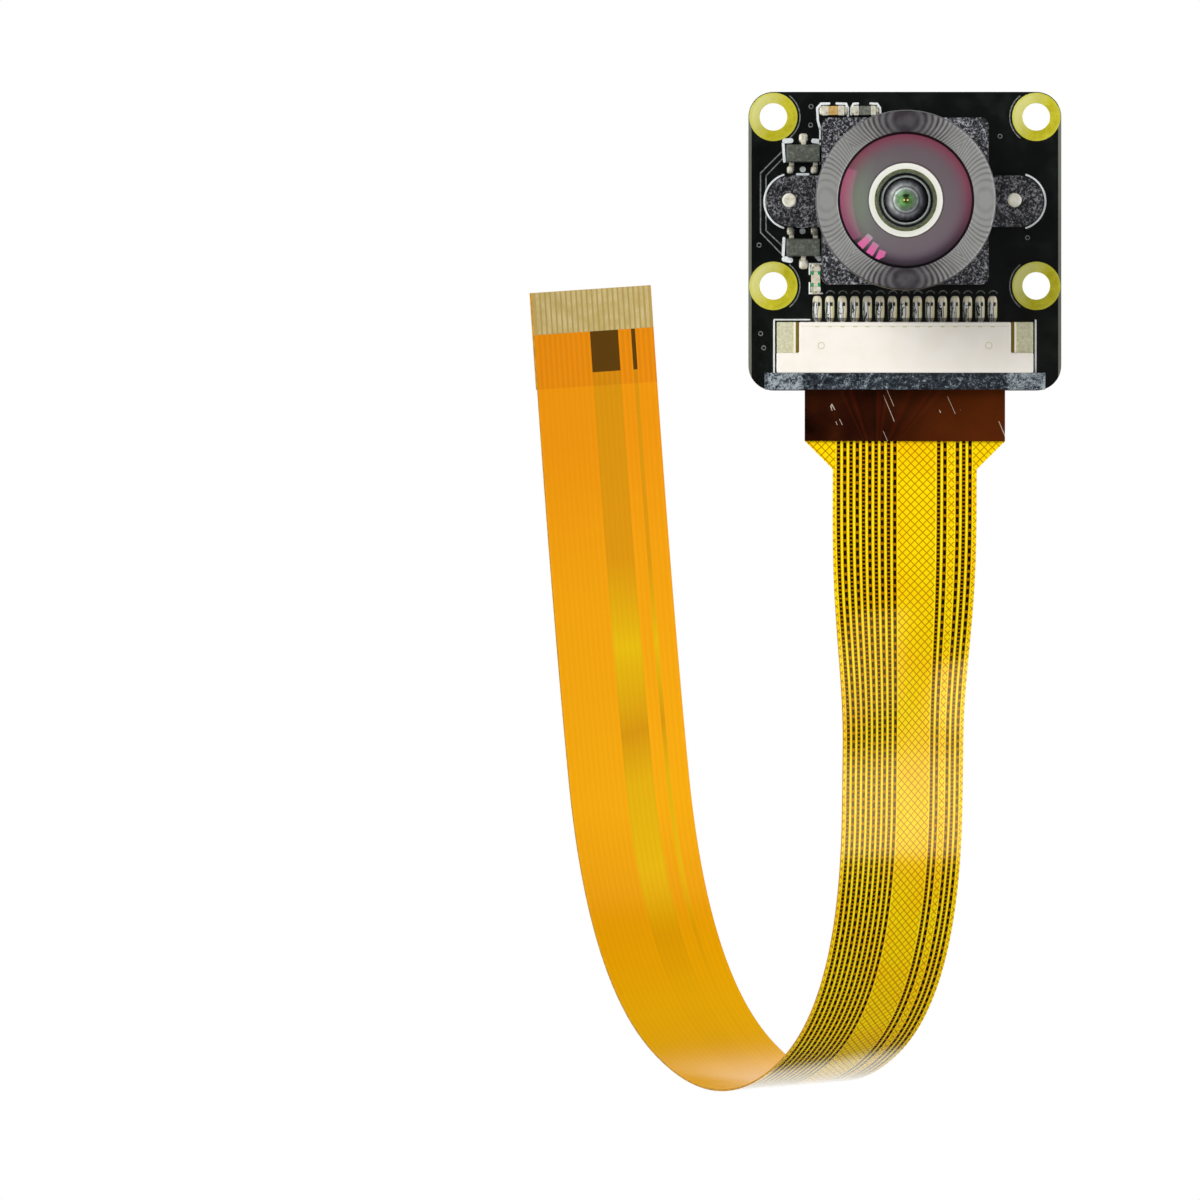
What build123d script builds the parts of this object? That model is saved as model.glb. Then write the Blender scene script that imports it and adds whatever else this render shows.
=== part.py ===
from build123d import *
import os
from math import asin, cos, radians, sin, tan

os.makedirs("parts", exist_ok=True)

# Millimetres. +Z is up along the board, +X right, and the lens looks along -Y.
# The origin is the middle of the four mounting holes, on the back face of the board.

# Small clearances
slide_clearance = 0.03
fit_clearance = 0.02
part_gap = 0.07

# Lens holder
holder_side = 13.3
holder_corner = 0.6
holder_base_height = 5.0
holder_height = 8.0
tube_step = 0.1
lug_spacing = 18.0
lug_radius = 2.05
lug_height = 2.2
cavity_side = 10.8
cavity_height = 2.3
window_side = 5.6
filter_side = 7.6
filter_thickness = 0.3
ledge_thickness = 0.6
thread_diameter = 12.0

# Holder screws
screw_diameter = 1.4
screw_head_diameter = 2.6
screw_head_height = 0.9
recess_width = 0.35
recess_length = 1.5
recess_depth = 0.45

# Cable connector
contact_count = 15
contact_pitch = 1.0
contact_width = 0.3
contact_thickness = 0.2
solder_width = 0.7
solder_length = 2.1
solder_thickness = 0.05
holder_to_contacts = 0.9
housing_end = 3.25
housing_depth = 4.05
housing_height = 2.5
slot_depth = 3.5
tab_width = 1.4
tab_depth = 2.45
tab_thickness = 0.2
tab_height = 2.1
tab_upright = 0.35
tab_upright_height = 2.4
latch_depth = 1.34
latch_overhang = 0.95
latch_height = 2.4
latch_edge = 0.07
tongue_length = 2.5
tongue_thickness = 0.26

# Circuit board
board_width = 25.0
board_thickness = 1.0
board_corner = 2.0
hole_diameter = 2.2
hole_inset = 2.0
hole_spacing_z = 13.5
pad_diameter = 3.87
plating = 0.05

# Surface-mounted parts
regulator_length = 2.75
regulator_width = 1.45
regulator_height = 0.95
regulator_stand = 0.1
regulator_pitch = 1.9
lead_width = 0.4
lead_reach = 0.75
lead_thickness = 0.12
upper_regulator_gap = 0.3
lower_regulator_gap = 0.15
chip_length = 1.75
chip_width = 0.8
chip_height = 0.5
chip_gap = 0.2
capacitor_x = -5.71
capacitor_cap = 0.5
resistor_x = -3.2
resistor_cap = 0.4
lamp_length = 2.0
lamp_height = 0.6
lamp_cap = 0.4
lamp_z = -6.2

# Image sensor
sensor_width = 6.6
sensor_height = 5.8
sensor_thickness = 0.4
sensor_glass_thickness = 0.4

# Lens: heights are above the front of the board, and the barrel's thread is M12
barrel_bottom = 4.2
barrel_length = 5.4
head_diameter = 14.35
head_length = 3.0
neck_wall = 0.8
shelf_height = 2.2
cap_lip = 0.5
cap_opening = 10.5
dome_rise = 1.9
dome_radius = 5.2
lens_edge_radius = 5.6
bowl_radius = 2.91
bowl_floor_radius = 1.8
bowl_depth = 1.7
spacer_hole = 2.43
spacer_thickness = 1.2
second_lens_radius = 4.0
second_lens_thickness = 2.4
second_bowl_radius = 1.83
second_bowl_depth = 0.8
small_lens_radius = 3.1
third_lens_thickness = 1.8
stop_thickness = 0.2
stop_hole = 0.75
rear_lens_thickness = 1.8
rear_ring_thickness = 0.8
rear_ring_hole = 2.3

# Flat cable
cable_width = 11.5
plug_width = 16.0
cable_thickness = 0.15
stiffener_thickness = 0.15
cable_height = 0.85
plug_stiffener_length = 8.95
tail_stiffener_length = 7.8
tail_contact_count = 22
tail_contact_pitch = 0.5
tail_contact_width = 0.32
tail_contact_length = 3.4
cable_contact_width = 0.7
cable_contact_thickness = 0.03

# Derived places on the board
hole_spacing_x = board_width - 2 * hole_inset
board_top = hole_spacing_z / 2 + hole_inset
contacts_top = -(holder_side / 2 + holder_to_contacts)
housing_top = contacts_top - solder_length
housing_bottom = housing_top - housing_depth
latch_bottom = housing_bottom - latch_depth
board_bottom = latch_bottom - latch_edge
board_height = board_top - board_bottom
board_middle = (board_top + board_bottom) / 2
housing_width = (contact_count - 1) * contact_pitch + 2 * housing_end
slot_top = housing_bottom + slot_depth

# Heights in the connector, above the front of the board
cable_under = cable_height - cable_thickness / 2
cable_over = cable_height + cable_thickness / 2
contact_reach = cable_under - cable_contact_thickness - fit_clearance
tongue_under = cable_over + stiffener_thickness + fit_clearance
slot_over = tongue_under + tongue_thickness + slide_clearance
filter_bottom = cavity_height + ledge_thickness
filter_top = filter_bottom + filter_thickness

# Heights in the lens
head_bottom = barrel_bottom + barrel_length
neck_bottom = head_bottom + head_length
shelf = neck_bottom + shelf_height
cap_top = shelf + fit_clearance + cap_lip
dome_top = shelf + dome_rise
front_lens_rear = neck_bottom
spacer_bottom = front_lens_rear - spacer_thickness
second_lens_bottom = spacer_bottom - second_lens_thickness
third_lens_bottom = second_lens_bottom - third_lens_thickness
stop_bottom = third_lens_bottom - stop_thickness
rear_lens_bottom = stop_bottom - rear_lens_thickness
rear_ring_bottom = rear_lens_bottom - rear_ring_thickness
neck_radius = lens_edge_radius + neck_wall

# Planes: the front and back faces of the board, and the half section of the lens
front = Plane(origin=(0, -board_thickness, 0), x_dir=(1, 0, 0), z_dir=(0, -1, 0))
back = Plane(origin=(0, 0, 0), x_dir=(-1, 0, 0), z_dir=(0, 1, 0))
side = Plane(origin=(0, -board_thickness, 0), x_dir=(0, 0, 1), z_dir=(1, 0, 0))
half_section = Plane(origin=(0, -board_thickness, 0), x_dir=(1, 0, 0), z_dir=(0, 0, -1))
lens_axis = Axis((0, 0, 0), (0, -1, 0))


# Circuit board
with BuildPart() as circuit_board:
    with BuildSketch(front):
        with Locations((0, board_middle)):
            RectangleRounded(board_width, board_height, board_corner)
        with GridLocations(hole_spacing_x, hole_spacing_z, 2, 2):
            Circle(hole_diameter / 2 + plating, mode=Mode.SUBTRACT)
        with GridLocations(lug_spacing, 0, 2, 1):
            Circle(screw_diameter / 2 + fit_clearance, mode=Mode.SUBTRACT)
    extrude(amount=-board_thickness)
circuit_board.part.label = "circuit_board"
export_step(circuit_board.part, "parts/circuit_board.step")

# Plated mounting holes: a ring on each face, joined by the lining of the hole
with BuildPart() as hole_pads:
    for face_plane in (front, back):
        with BuildSketch(face_plane):
            with GridLocations(hole_spacing_x, hole_spacing_z, 2, 2):
                Circle(pad_diameter / 2)
        extrude(amount=plating)
    with BuildSketch(front):
        with GridLocations(hole_spacing_x, hole_spacing_z, 2, 2):
            Circle(hole_diameter / 2 + plating)
    extrude(amount=-board_thickness)
    with BuildSketch(front.offset(plating)):
        with GridLocations(hole_spacing_x, hole_spacing_z, 2, 2):
            Circle(hole_diameter / 2)
    extrude(amount=-(board_thickness + 2 * plating), mode=Mode.SUBTRACT)
hole_pads.part.label = "hole_pads"
export_step(hole_pads.part, "parts/hole_pads.step")

# Lens holder: a square base with two lugs, and a round tube above it
with BuildPart() as lens_holder:
    with BuildSketch(front):
        SlotCenterToCenter(lug_spacing, 2 * lug_radius)
    extrude(amount=lug_height)
    with BuildSketch(front):
        RectangleRounded(holder_side, holder_side, holder_corner)
    extrude(amount=holder_base_height)
    with BuildSketch(front):
        Circle(holder_side / 2 - tube_step)
    extrude(amount=holder_height)
    with BuildSketch(front.offset(filter_top)):
        Circle(thread_diameter / 2)
    extrude(amount=holder_height, mode=Mode.SUBTRACT)
    with BuildSketch(front.offset(filter_bottom)):
        Rectangle(filter_side + 2 * fit_clearance, filter_side + 2 * fit_clearance)
    extrude(amount=holder_height, mode=Mode.SUBTRACT)
    with BuildSketch(front):
        Rectangle(window_side, window_side)
    extrude(amount=holder_height, mode=Mode.SUBTRACT)
    with BuildSketch(front):
        Rectangle(cavity_side, cavity_side)
    extrude(amount=cavity_height, mode=Mode.SUBTRACT)
    with BuildSketch(front):
        with GridLocations(lug_spacing, 0, 2, 1):
            Circle(screw_diameter / 2 + fit_clearance)
    extrude(amount=lug_height, mode=Mode.SUBTRACT)
lens_holder.part.label = "lens_holder"
export_step(lens_holder.part, "parts/lens_holder.step")

# Two screws come through the board from the back and end just below the top of the lugs
with BuildPart() as holder_screws:
    with BuildSketch(back):
        with GridLocations(lug_spacing, 0, 2, 1):
            Circle(screw_head_diameter / 2)
    extrude(amount=screw_head_height)
    with BuildSketch(back.offset(screw_head_height)):
        with GridLocations(lug_spacing, 0, 2, 1):
            Rectangle(recess_length, recess_width)
            Rectangle(recess_width, recess_length)
    extrude(amount=-recess_depth, mode=Mode.SUBTRACT)
    with BuildSketch(back):
        with GridLocations(lug_spacing, 0, 2, 1):
            Circle(screw_diameter / 2)
    extrude(amount=-(board_thickness + lug_height - part_gap))
holder_screws.part.label = "holder_screws"
export_step(holder_screws.part, "parts/holder_screws.step")

# Image sensor and its cover glass
with BuildPart() as image_sensor:
    with BuildSketch(front):
        Rectangle(sensor_width, sensor_height)
    extrude(amount=sensor_thickness)
image_sensor.part.label = "image_sensor"
export_step(image_sensor.part, "parts/image_sensor.step")

with BuildPart() as sensor_glass:
    with BuildSketch(front.offset(sensor_thickness)):
        Rectangle(sensor_width, sensor_height)
    extrude(amount=sensor_glass_thickness)
sensor_glass.part.label = "sensor_glass"
export_step(sensor_glass.part, "parts/sensor_glass.step")

# Infrared filter, glued into the seat inside the holder
with BuildPart() as infrared_filter:
    with BuildSketch(front.offset(filter_bottom)):
        Rectangle(filter_side, filter_side)
    extrude(amount=filter_thickness)
infrared_filter.part.label = "infrared_filter"
export_step(infrared_filter.part, "parts/infrared_filter.step")

# Connector housing: a block with a slot for the cable and a comb of grooves for the contacts
tab_slot = tab_width + tab_upright + 2 * fit_clearance
with BuildPart() as connector_housing:
    with BuildSketch(front):
        with Locations((0, (housing_top + housing_bottom) / 2)):
            Rectangle(housing_width, housing_depth)
    extrude(amount=housing_height)
    with BuildSketch(front.offset(contact_reach)):
        with Locations((0, slot_top - slot_depth / 2)):
            Rectangle(plug_width + 2 * slide_clearance, slot_depth)
    extrude(amount=slot_over - contact_reach, mode=Mode.SUBTRACT)
    groove_end = housing_bottom + latch_depth / 2
    with BuildSketch(front):
        with Locations((0, (housing_top + groove_end) / 2)):
            with GridLocations(contact_pitch, 0, contact_count, 1):
                Rectangle(contact_width + 2 * fit_clearance, housing_top - groove_end)
    extrude(amount=contact_reach, mode=Mode.SUBTRACT)
    with BuildSketch(front):
        with Locations((0, housing_top - tab_depth / 2)):
            with GridLocations(housing_width - tab_slot, 0, 2, 1):
                Rectangle(tab_slot, tab_depth)
    extrude(amount=housing_height, mode=Mode.SUBTRACT)
connector_housing.part.label = "connector_housing"
export_step(connector_housing.part, "parts/connector_housing.step")

# Solder pads under the contacts
with BuildPart() as contact_pads:
    with BuildSketch(front):
        with Locations((0, contacts_top - solder_length / 2)):
            with GridLocations(contact_pitch, 0, contact_count, 1):
                Rectangle(solder_width, solder_length)
    extrude(amount=solder_thickness)
contact_pads.part.label = "contact_pads"
export_step(contact_pads.part, "parts/contact_pads.step")

# Contacts: a foot on the pad, a riser in the groove, and an arm whose nose meets the cable
foot_end = contacts_top - 0.2 * solder_length
foot_top = solder_thickness + contact_thickness
arm_bottom = foot_top + 0.05
arm_top = arm_bottom + contact_thickness
arm_end = groove_end + contact_thickness
contact_outline = [
    (foot_end, solder_thickness),
    (housing_top - contact_thickness, solder_thickness),
    (housing_top - contact_thickness, arm_bottom),
    (arm_end, arm_bottom),
    (arm_end, arm_top),
    (arm_end + contact_thickness, contact_reach),
    (arm_end + 2 * contact_thickness, contact_reach),
    (arm_end + 3 * contact_thickness, arm_top),
    (housing_top, arm_top),
    (housing_top, foot_top),
    (foot_end, foot_top),
]
with BuildPart() as connector_contacts:
    for number in range(contact_count):
        contact_x = (number - (contact_count - 1) / 2) * contact_pitch
        with BuildSketch(side.offset(contact_x)):
            with BuildLine():
                Polyline(*contact_outline, close=True)
            make_face()
        extrude(amount=contact_width / 2, both=True)
connector_contacts.part.label = "connector_contacts"
export_step(connector_contacts.part, "parts/connector_contacts.step")

# Fixing tabs: a bent strip at each end of the housing, standing on the board
with BuildPart() as connector_tabs:
    for hand in (-1, 1):
        outer = hand * (housing_width / 2 - fit_clearance)
        inner = outer - hand * tab_width
        upright = inner - hand * tab_upright
        tab_outline = [
            (outer, 0),
            (outer, tab_height),
            (inner, tab_height),
            (inner, tab_upright_height),
            (upright, tab_upright_height),
            (upright, 0),
            (inner, 0),
            (inner, tab_height - tab_thickness),
            (outer - hand * tab_thickness, tab_height - tab_thickness),
            (outer - hand * tab_thickness, 0),
        ]
        with BuildSketch(half_section.offset(-housing_top)):
            with BuildLine():
                Polyline(*tab_outline, close=True)
            make_face()
        extrude(amount=tab_depth)
connector_tabs.part.label = "connector_tabs"
export_step(connector_tabs.part, "parts/connector_tabs.step")

# Latch: a bar with a thin tongue that presses the cable onto the contacts
latch_width = housing_width + 2 * latch_overhang
with BuildPart() as connector_latch:
    with BuildSketch(front.offset(solder_thickness)):
        with Locations((0, housing_bottom - latch_depth / 2)):
            Rectangle(latch_width, latch_depth)
    extrude(amount=latch_height - solder_thickness)
    with BuildSketch(front):
        with Locations((0, housing_bottom - latch_depth / 2)):
            Rectangle(plug_width + 2 * part_gap, latch_depth)
    extrude(amount=tongue_under, mode=Mode.SUBTRACT)
    with BuildSketch(front.offset(tongue_under)):
        with Locations((0, housing_bottom + tongue_length / 2)):
            Rectangle(plug_width - 2 * slide_clearance, tongue_length)
    extrude(amount=tongue_thickness)
connector_latch.part.label = "connector_latch"
export_step(connector_latch.part, "parts/connector_latch.step")


# Three-legged regulators: two legs on the side of the lug, one on the far side
def regulator(centre_z, towards_lug):
    """The body and the leads of one regulator, beside the holder at the given height."""
    centre_x = -(holder_side / 2 + part_gap + regulator_length / 2)
    mid = regulator_stand + regulator_height / 2
    with BuildPart() as body:
        with BuildSketch(front.offset(regulator_stand)):
            with Locations((centre_x, centre_z)):
                Rectangle(regulator_length, regulator_width)
        extrude(amount=regulator_height, taper=4)
    near_side = centre_z + towards_lug * regulator_width / 2
    far_side = centre_z - towards_lug * regulator_width / 2
    places = [
        (centre_x - regulator_pitch / 2, near_side, towards_lug),
        (centre_x + regulator_pitch / 2, near_side, towards_lug),
        (centre_x, far_side, -towards_lug),
    ]
    with BuildPart() as leads:
        for lead_x, start_z, way in places:
            lead_outline = [
                (start_z - way * lead_thickness, mid),
                (start_z + way * 0.3 * lead_reach, mid),
                (start_z + way * 0.45 * lead_reach, lead_thickness),
                (start_z + way * lead_reach, lead_thickness),
                (start_z + way * lead_reach, 0),
                (start_z + way * 0.3 * lead_reach, 0),
                (start_z + way * 0.15 * lead_reach, mid - lead_thickness),
                (start_z - way * lead_thickness, mid - lead_thickness),
            ]
            with BuildSketch(side.offset(lead_x)):
                with BuildLine():
                    Polyline(*lead_outline, close=True)
                make_face()
            extrude(amount=lead_width / 2, both=True)
        add(body.part, mode=Mode.SUBTRACT)
    return body, leads


reach_from_lug = lug_radius + lead_reach + regulator_width / 2
upper_regulator, upper_regulator_leads = regulator(reach_from_lug + upper_regulator_gap, -1)
upper_regulator.part.label = "upper_regulator"
export_step(upper_regulator.part, "parts/upper_regulator.step")
upper_regulator_leads.part.label = "upper_regulator_leads"
export_step(upper_regulator_leads.part, "parts/upper_regulator_leads.step")

lower_regulator, lower_regulator_leads = regulator(-(reach_from_lug + lower_regulator_gap), 1)
lower_regulator.part.label = "lower_regulator"
export_step(lower_regulator.part, "parts/lower_regulator.step")
lower_regulator_leads.part.label = "lower_regulator_leads"
export_step(lower_regulator_leads.part, "parts/lower_regulator_leads.step")


# Two-ended chips
def chip(plane, length, width, height, cap):
    """The body and the two metal ends of a chip that lies along the plane's X."""
    with BuildPart() as body:
        with BuildSketch(plane):
            Rectangle(length - 2 * cap, width - part_gap)
        extrude(amount=height - part_gap / 2)
    with BuildPart() as ends:
        with BuildSketch(plane):
            with GridLocations(length - cap, 0, 2, 1):
                Rectangle(cap, width)
        extrude(amount=height)
    return body, ends


def on_board(x, z, along=(1, 0, 0)):
    """The plane of the board's front at a place, with its X along the chip."""
    return Plane(origin=(x, -board_thickness, z), x_dir=along, z_dir=(0, -1, 0))


chip_z = holder_side / 2 + chip_gap + chip_width / 2
lamp_x = -(holder_side / 2 + part_gap + chip_width / 2)

capacitor, capacitor_ends = chip(
    on_board(capacitor_x, chip_z), chip_length, chip_width, chip_height, capacitor_cap
)
capacitor.part.label = "capacitor"
export_step(capacitor.part, "parts/capacitor.step")
capacitor_ends.part.label = "capacitor_ends"
export_step(capacitor_ends.part, "parts/capacitor_ends.step")

resistor, resistor_ends = chip(
    on_board(resistor_x, chip_z), chip_length, chip_width, chip_height, resistor_cap
)
resistor.part.label = "grey_chip"
export_step(resistor.part, "parts/grey_chip.step")
resistor_ends.part.label = "grey_chip_ends"
export_step(resistor_ends.part, "parts/grey_chip_ends.step")

lamp, lamp_ends = chip(
    on_board(lamp_x, lamp_z, (0, 0, 1)), lamp_length, chip_width, lamp_height, lamp_cap
)
lamp.part.label = "chip_lamp"
export_step(lamp.part, "parts/chip_lamp.step")
lamp_ends.part.label = "chip_lamp_ends"
export_step(lamp_ends.part, "parts/chip_lamp_ends.step")


# Lens: every piece is turned about the lens axis from its half section (radius, height)
def turned(outline):
    """A piece turned about the lens axis from a straight-sided half section."""
    with BuildPart() as piece:
        with BuildSketch(half_section):
            with BuildLine():
                Polyline(*outline, close=True)
            make_face()
        revolve(axis=lens_axis)
    return piece


def cap_outline(radius, rise, apex, steps):
    """Points down a spherical cap, from its apex to its edge, one rise lower."""
    curvature = (radius**2 + rise**2) / (2 * rise)
    turn = asin(radius / curvature) / steps
    heights = [apex - curvature * (1 - cos(number * turn)) for number in range(steps + 1)]
    return [(curvature * sin(number * turn), heights[number]) for number in range(steps + 1)]


thread_radius = thread_diameter / 2 - slide_clearance
lens_barrel = turned([
    (small_lens_radius + fit_clearance, barrel_bottom),
    (thread_radius, barrel_bottom),
    (thread_radius, head_bottom),
    (head_diameter / 2, head_bottom),
    (head_diameter / 2, neck_bottom),
    (neck_radius, neck_bottom),
    (neck_radius, shelf),
    (lens_edge_radius + fit_clearance, shelf),
    (lens_edge_radius + fit_clearance, spacer_bottom),
    (second_lens_radius + fit_clearance, spacer_bottom),
    (second_lens_radius + fit_clearance, second_lens_bottom),
    (small_lens_radius + fit_clearance, second_lens_bottom),
])
lens_barrel.part.label = "lens_barrel"
export_step(lens_barrel.part, "parts/lens_barrel.step")

# Cap ring, screwed over the neck; its lip holds the front lens
rim = 0.2
front_cap = turned([
    (neck_radius + fit_clearance, neck_bottom),
    (head_diameter / 2, neck_bottom),
    (head_diameter / 2, cap_top - rim),
    (head_diameter / 2 - rim, cap_top),
    (cap_opening / 2, cap_top),
    (cap_opening / 2, shelf + fit_clearance),
    (neck_radius + fit_clearance, shelf + fit_clearance),
])
front_cap.part.label = "front_cap"
export_step(front_cap.part, "parts/front_cap.step")

# Front lens: a dome in front, a flat ring and a deep bowl behind. The dome's steps stay within
# 0.02 mm of its sphere
front_lens = turned([
    *cap_outline(dome_radius, dome_rise, dome_top, 6),
    (lens_edge_radius, shelf),
    (lens_edge_radius, front_lens_rear),
    (bowl_radius, front_lens_rear),
    (bowl_floor_radius, front_lens_rear + bowl_depth),
    (0, front_lens_rear + bowl_depth),
])
front_lens.part.label = "front_lens"
export_step(front_lens.part, "parts/front_lens.step")

# Spacer ring between the front lens and the second lens
spacer_ring = turned([
    (spacer_hole, front_lens_rear),
    (lens_edge_radius, front_lens_rear),
    (lens_edge_radius, spacer_bottom),
    (spacer_hole, spacer_bottom),
])
spacer_ring.part.label = "spacer_ring"
export_step(spacer_ring.part, "parts/spacer_ring.step")

# Second lens: a flat face with a shallow bowl, in front of the small lenses
second_lens = turned([
    (0, spacer_bottom - second_bowl_depth),
    (second_bowl_radius, spacer_bottom),
    (second_lens_radius, spacer_bottom),
    (second_lens_radius, second_lens_bottom),
    (0, second_lens_bottom),
])
second_lens.part.label = "second_lens"
export_step(second_lens.part, "parts/second_lens.step")

# Third lens
third_lens = turned([
    (0, third_lens_bottom),
    (small_lens_radius, third_lens_bottom),
    (small_lens_radius, second_lens_bottom),
    (0, second_lens_bottom),
])
third_lens.part.label = "third_lens"
export_step(third_lens.part, "parts/third_lens.step")

# Aperture stop between the third lens and the rear lens
aperture_stop = turned([
    (stop_hole, stop_bottom),
    (small_lens_radius, stop_bottom),
    (small_lens_radius, third_lens_bottom),
    (stop_hole, third_lens_bottom),
])
aperture_stop.part.label = "aperture_stop"
export_step(aperture_stop.part, "parts/aperture_stop.step")

# Rear lens and the ring that holds it
rear_lens = turned([
    (0, rear_lens_bottom),
    (small_lens_radius, rear_lens_bottom),
    (small_lens_radius, stop_bottom),
    (0, stop_bottom),
])
rear_lens.part.label = "rear_lens"
export_step(rear_lens.part, "parts/rear_lens.step")

rear_ring = turned([
    (rear_ring_hole, rear_ring_bottom),
    (small_lens_radius, rear_ring_bottom),
    (small_lens_radius, rear_lens_bottom),
    (rear_ring_hole, rear_lens_bottom),
])
rear_ring.part.label = "rear_ring"
export_step(rear_ring.part, "parts/rear_ring.step")

# Flat cable: straight runs joined by arcs, from inside the connector to the free end. From its
# second point on, it stays in the plane through three of its points
cable_y = -board_thickness - cable_height
route = [
    (0, cable_y, slot_top),
    (0, cable_y, -33.0),
    (-0.4, 2.5, -63.6),
    (-10.1, 18.4, -73.4),
    (-20.5, 32.7, -62.1),
    (-23.6, 33.8, -29.8),
    (-25.1, 33.6, -6.8),
]
first, second, _, fourth, _, sixth, _ = [Vector(*point) for point in route]
bend_axis = (fourth - second).cross(sixth - second).normalized()
bend_plane = Plane(origin=second, x_dir=fourth - second, z_dir=bend_axis)
flat_points = [bend_plane.to_local_coords(Vector(*point)) for point in route[1:]]
bend_points = [(point.X, point.Y) for point in flat_points]
points = [first] + [bend_plane.from_local_coords(point) for point in bend_points]
runs = [(b - a).length for a, b in zip(points, points[1:])]
turns = [(b - a).get_angle(c - b) for a, b, c in zip(points, points[1:], points[2:])]
corner_reaches = [0.45 * min(a, b) for a, b in zip(runs, runs[1:])]
radii = [reach / tan(radians(turn / 2)) for reach, turn in zip(corner_reaches, turns)]
print("cable runs:", [round(run, 1) for run in runs])
print("cable turns:", [round(turn, 1) for turn in turns])
print("cable arc radii:", [round(radius, 1) for radius in radii])

with BuildLine() as cable_path:
    FilletPolyline(*points, radius=radii)
path_wire = cable_path.wire()
path_length = path_wire.length

# Between the shoulder of the plug and the end of the first arc, the cable turns its width from
# the connector's to the bend's
shoulder = (plug_width - cable_width) / 2
twist_start = plug_stiffener_length + shoulder
twist_end = runs[0] - corner_reaches[0] + radii[0] * radians(turns[0])
twist_steps = 18


def cable_section(distance):
    """The plane across the cable, that far along it, with its X along the cable's width."""
    place = path_wire.position_at(distance, position_mode=PositionMode.LENGTH)
    ahead = path_wire.tangent_at(distance, position_mode=PositionMode.LENGTH)
    share = min(max((distance - twist_start) / (twist_end - twist_start), 0), 1)
    blend = share * share * (3 - 2 * share)
    across = Vector(1, 0, 0) * (1 - blend) + bend_axis * blend
    across = across - ahead * across.dot(ahead)
    return Plane(origin=place, x_dir=across, z_dir=ahead)


def cable_corners(distance):
    """The four corners of the cable's section, in order round it."""
    plane = cable_section(distance)
    width_way = plane.x_dir * (cable_width / 2)
    through = plane.y_dir * (cable_thickness / 2)
    return [
        plane.origin - width_way - through,
        plane.origin + width_way - through,
        plane.origin + width_way + through,
        plane.origin - width_way + through,
    ]


def triangle(*corners):
    """One flat facet of the twisted stretch."""
    return Face(Wire.make_polygon(corners, close=True))


# The twisted stretch is made of flat facets, and the same diagonal is used on its two wide faces,
# so that it keeps its thickness
twist_step = (twist_end - twist_start) / twist_steps
rings = [cable_corners(twist_start + number * twist_step) for number in range(twist_steps + 1)]
facets = [Face(Wire.make_polygon(ring, close=True)) for ring in (rings[0], rings[-1])]
for near, far in zip(rings, rings[1:]):
    facets += [triangle(near[0], near[1], far[1]), triangle(near[0], far[1], far[0])]
    facets += [triangle(near[3], near[2], far[2]), triangle(near[3], far[2], far[3])]
    facets += [triangle(near[1], near[2], far[2]), triangle(near[1], far[2], far[1])]
    facets += [triangle(near[0], near[3], far[3]), triangle(near[0], far[3], far[0])]

plug_end = slot_top - plug_stiffener_length
plug_outline = [
    (-plug_width / 2, slot_top),
    (plug_width / 2, slot_top),
    (plug_width / 2, plug_end),
    (cable_width / 2, plug_end - shoulder),
    (-cable_width / 2, plug_end - shoulder),
    (-plug_width / 2, plug_end),
]
band_start = bend_plane.to_local_coords(cable_section(twist_end).origin)
with BuildPart() as flex_cable:
    with BuildSketch(bend_plane):
        with BuildLine():
            FilletPolyline((band_start.X, band_start.Y), *bend_points[1:], radius=radii[1:])
        trace(line_width=cable_thickness)
    extrude(amount=cable_width / 2, both=True)
    add(Solid(Shell(facets)))
    with BuildSketch(front.offset(cable_under)):
        with BuildLine():
            Polyline(*plug_outline, close=True)
        make_face()
    extrude(amount=cable_thickness)
flex_cable.part.label = "flex_cable"
export_step(flex_cable.part, "parts/flex_cable.step")
plug_area = plug_width * plug_stiffener_length + (plug_width + cable_width) / 2 * shoulder
strip_area = cable_width * (path_length - twist_start)
print("cable length:", round(path_length, 2))
print("cable volume:", round(flex_cable.part.volume, 2))
print("section times length:", round((plug_area + strip_area) * cable_thickness, 2))

# Stiffener and contacts at the camera end
with BuildPart() as plug_stiffener:
    with BuildSketch(front.offset(cable_over)):
        with Locations((0, slot_top - plug_stiffener_length / 2)):
            Rectangle(plug_width, plug_stiffener_length)
    extrude(amount=stiffener_thickness)
plug_stiffener.part.label = "plug_stiffener"
export_step(plug_stiffener.part, "parts/plug_stiffener.step")

with BuildPart() as plug_contacts:
    with BuildSketch(front.offset(cable_under)):
        with Locations((0, slot_top - slot_depth / 2)):
            with GridLocations(contact_pitch, 0, contact_count, 1):
                Rectangle(cable_contact_width, slot_depth)
    extrude(amount=-cable_contact_thickness)
plug_contacts.part.label = "plug_contacts"
export_step(plug_contacts.part, "parts/plug_contacts.step")

# Stiffener and contacts at the free end: the plane lies in the cable, its Y towards the end
tail_across = cable_section(path_length)
tail = Plane(
    origin=tail_across.origin,
    x_dir=tail_across.x_dir,
    z_dir=tail_across.x_dir.cross(tail_across.z_dir),
)
with BuildPart() as tail_stiffener:
    with BuildSketch(tail.offset(-cable_thickness / 2)):
        with Locations((0, -tail_stiffener_length / 2)):
            Rectangle(cable_width, tail_stiffener_length)
    extrude(amount=-stiffener_thickness)
tail_stiffener.part.label = "tail_stiffener"
export_step(tail_stiffener.part, "parts/tail_stiffener.step")

with BuildPart() as tail_contacts:
    with BuildSketch(tail.offset(cable_thickness / 2)):
        with Locations((0, -tail_contact_length / 2)):
            with GridLocations(tail_contact_pitch, 0, tail_contact_count, 1):
                Rectangle(tail_contact_width, tail_contact_length)
    extrude(amount=cable_contact_thickness)
tail_contacts.part.label = "tail_contacts"
export_step(tail_contacts.part, "parts/tail_contacts.step")
print("free end of the cable at:", [round(value, 3) for value in tuple(tail.origin)])
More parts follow.
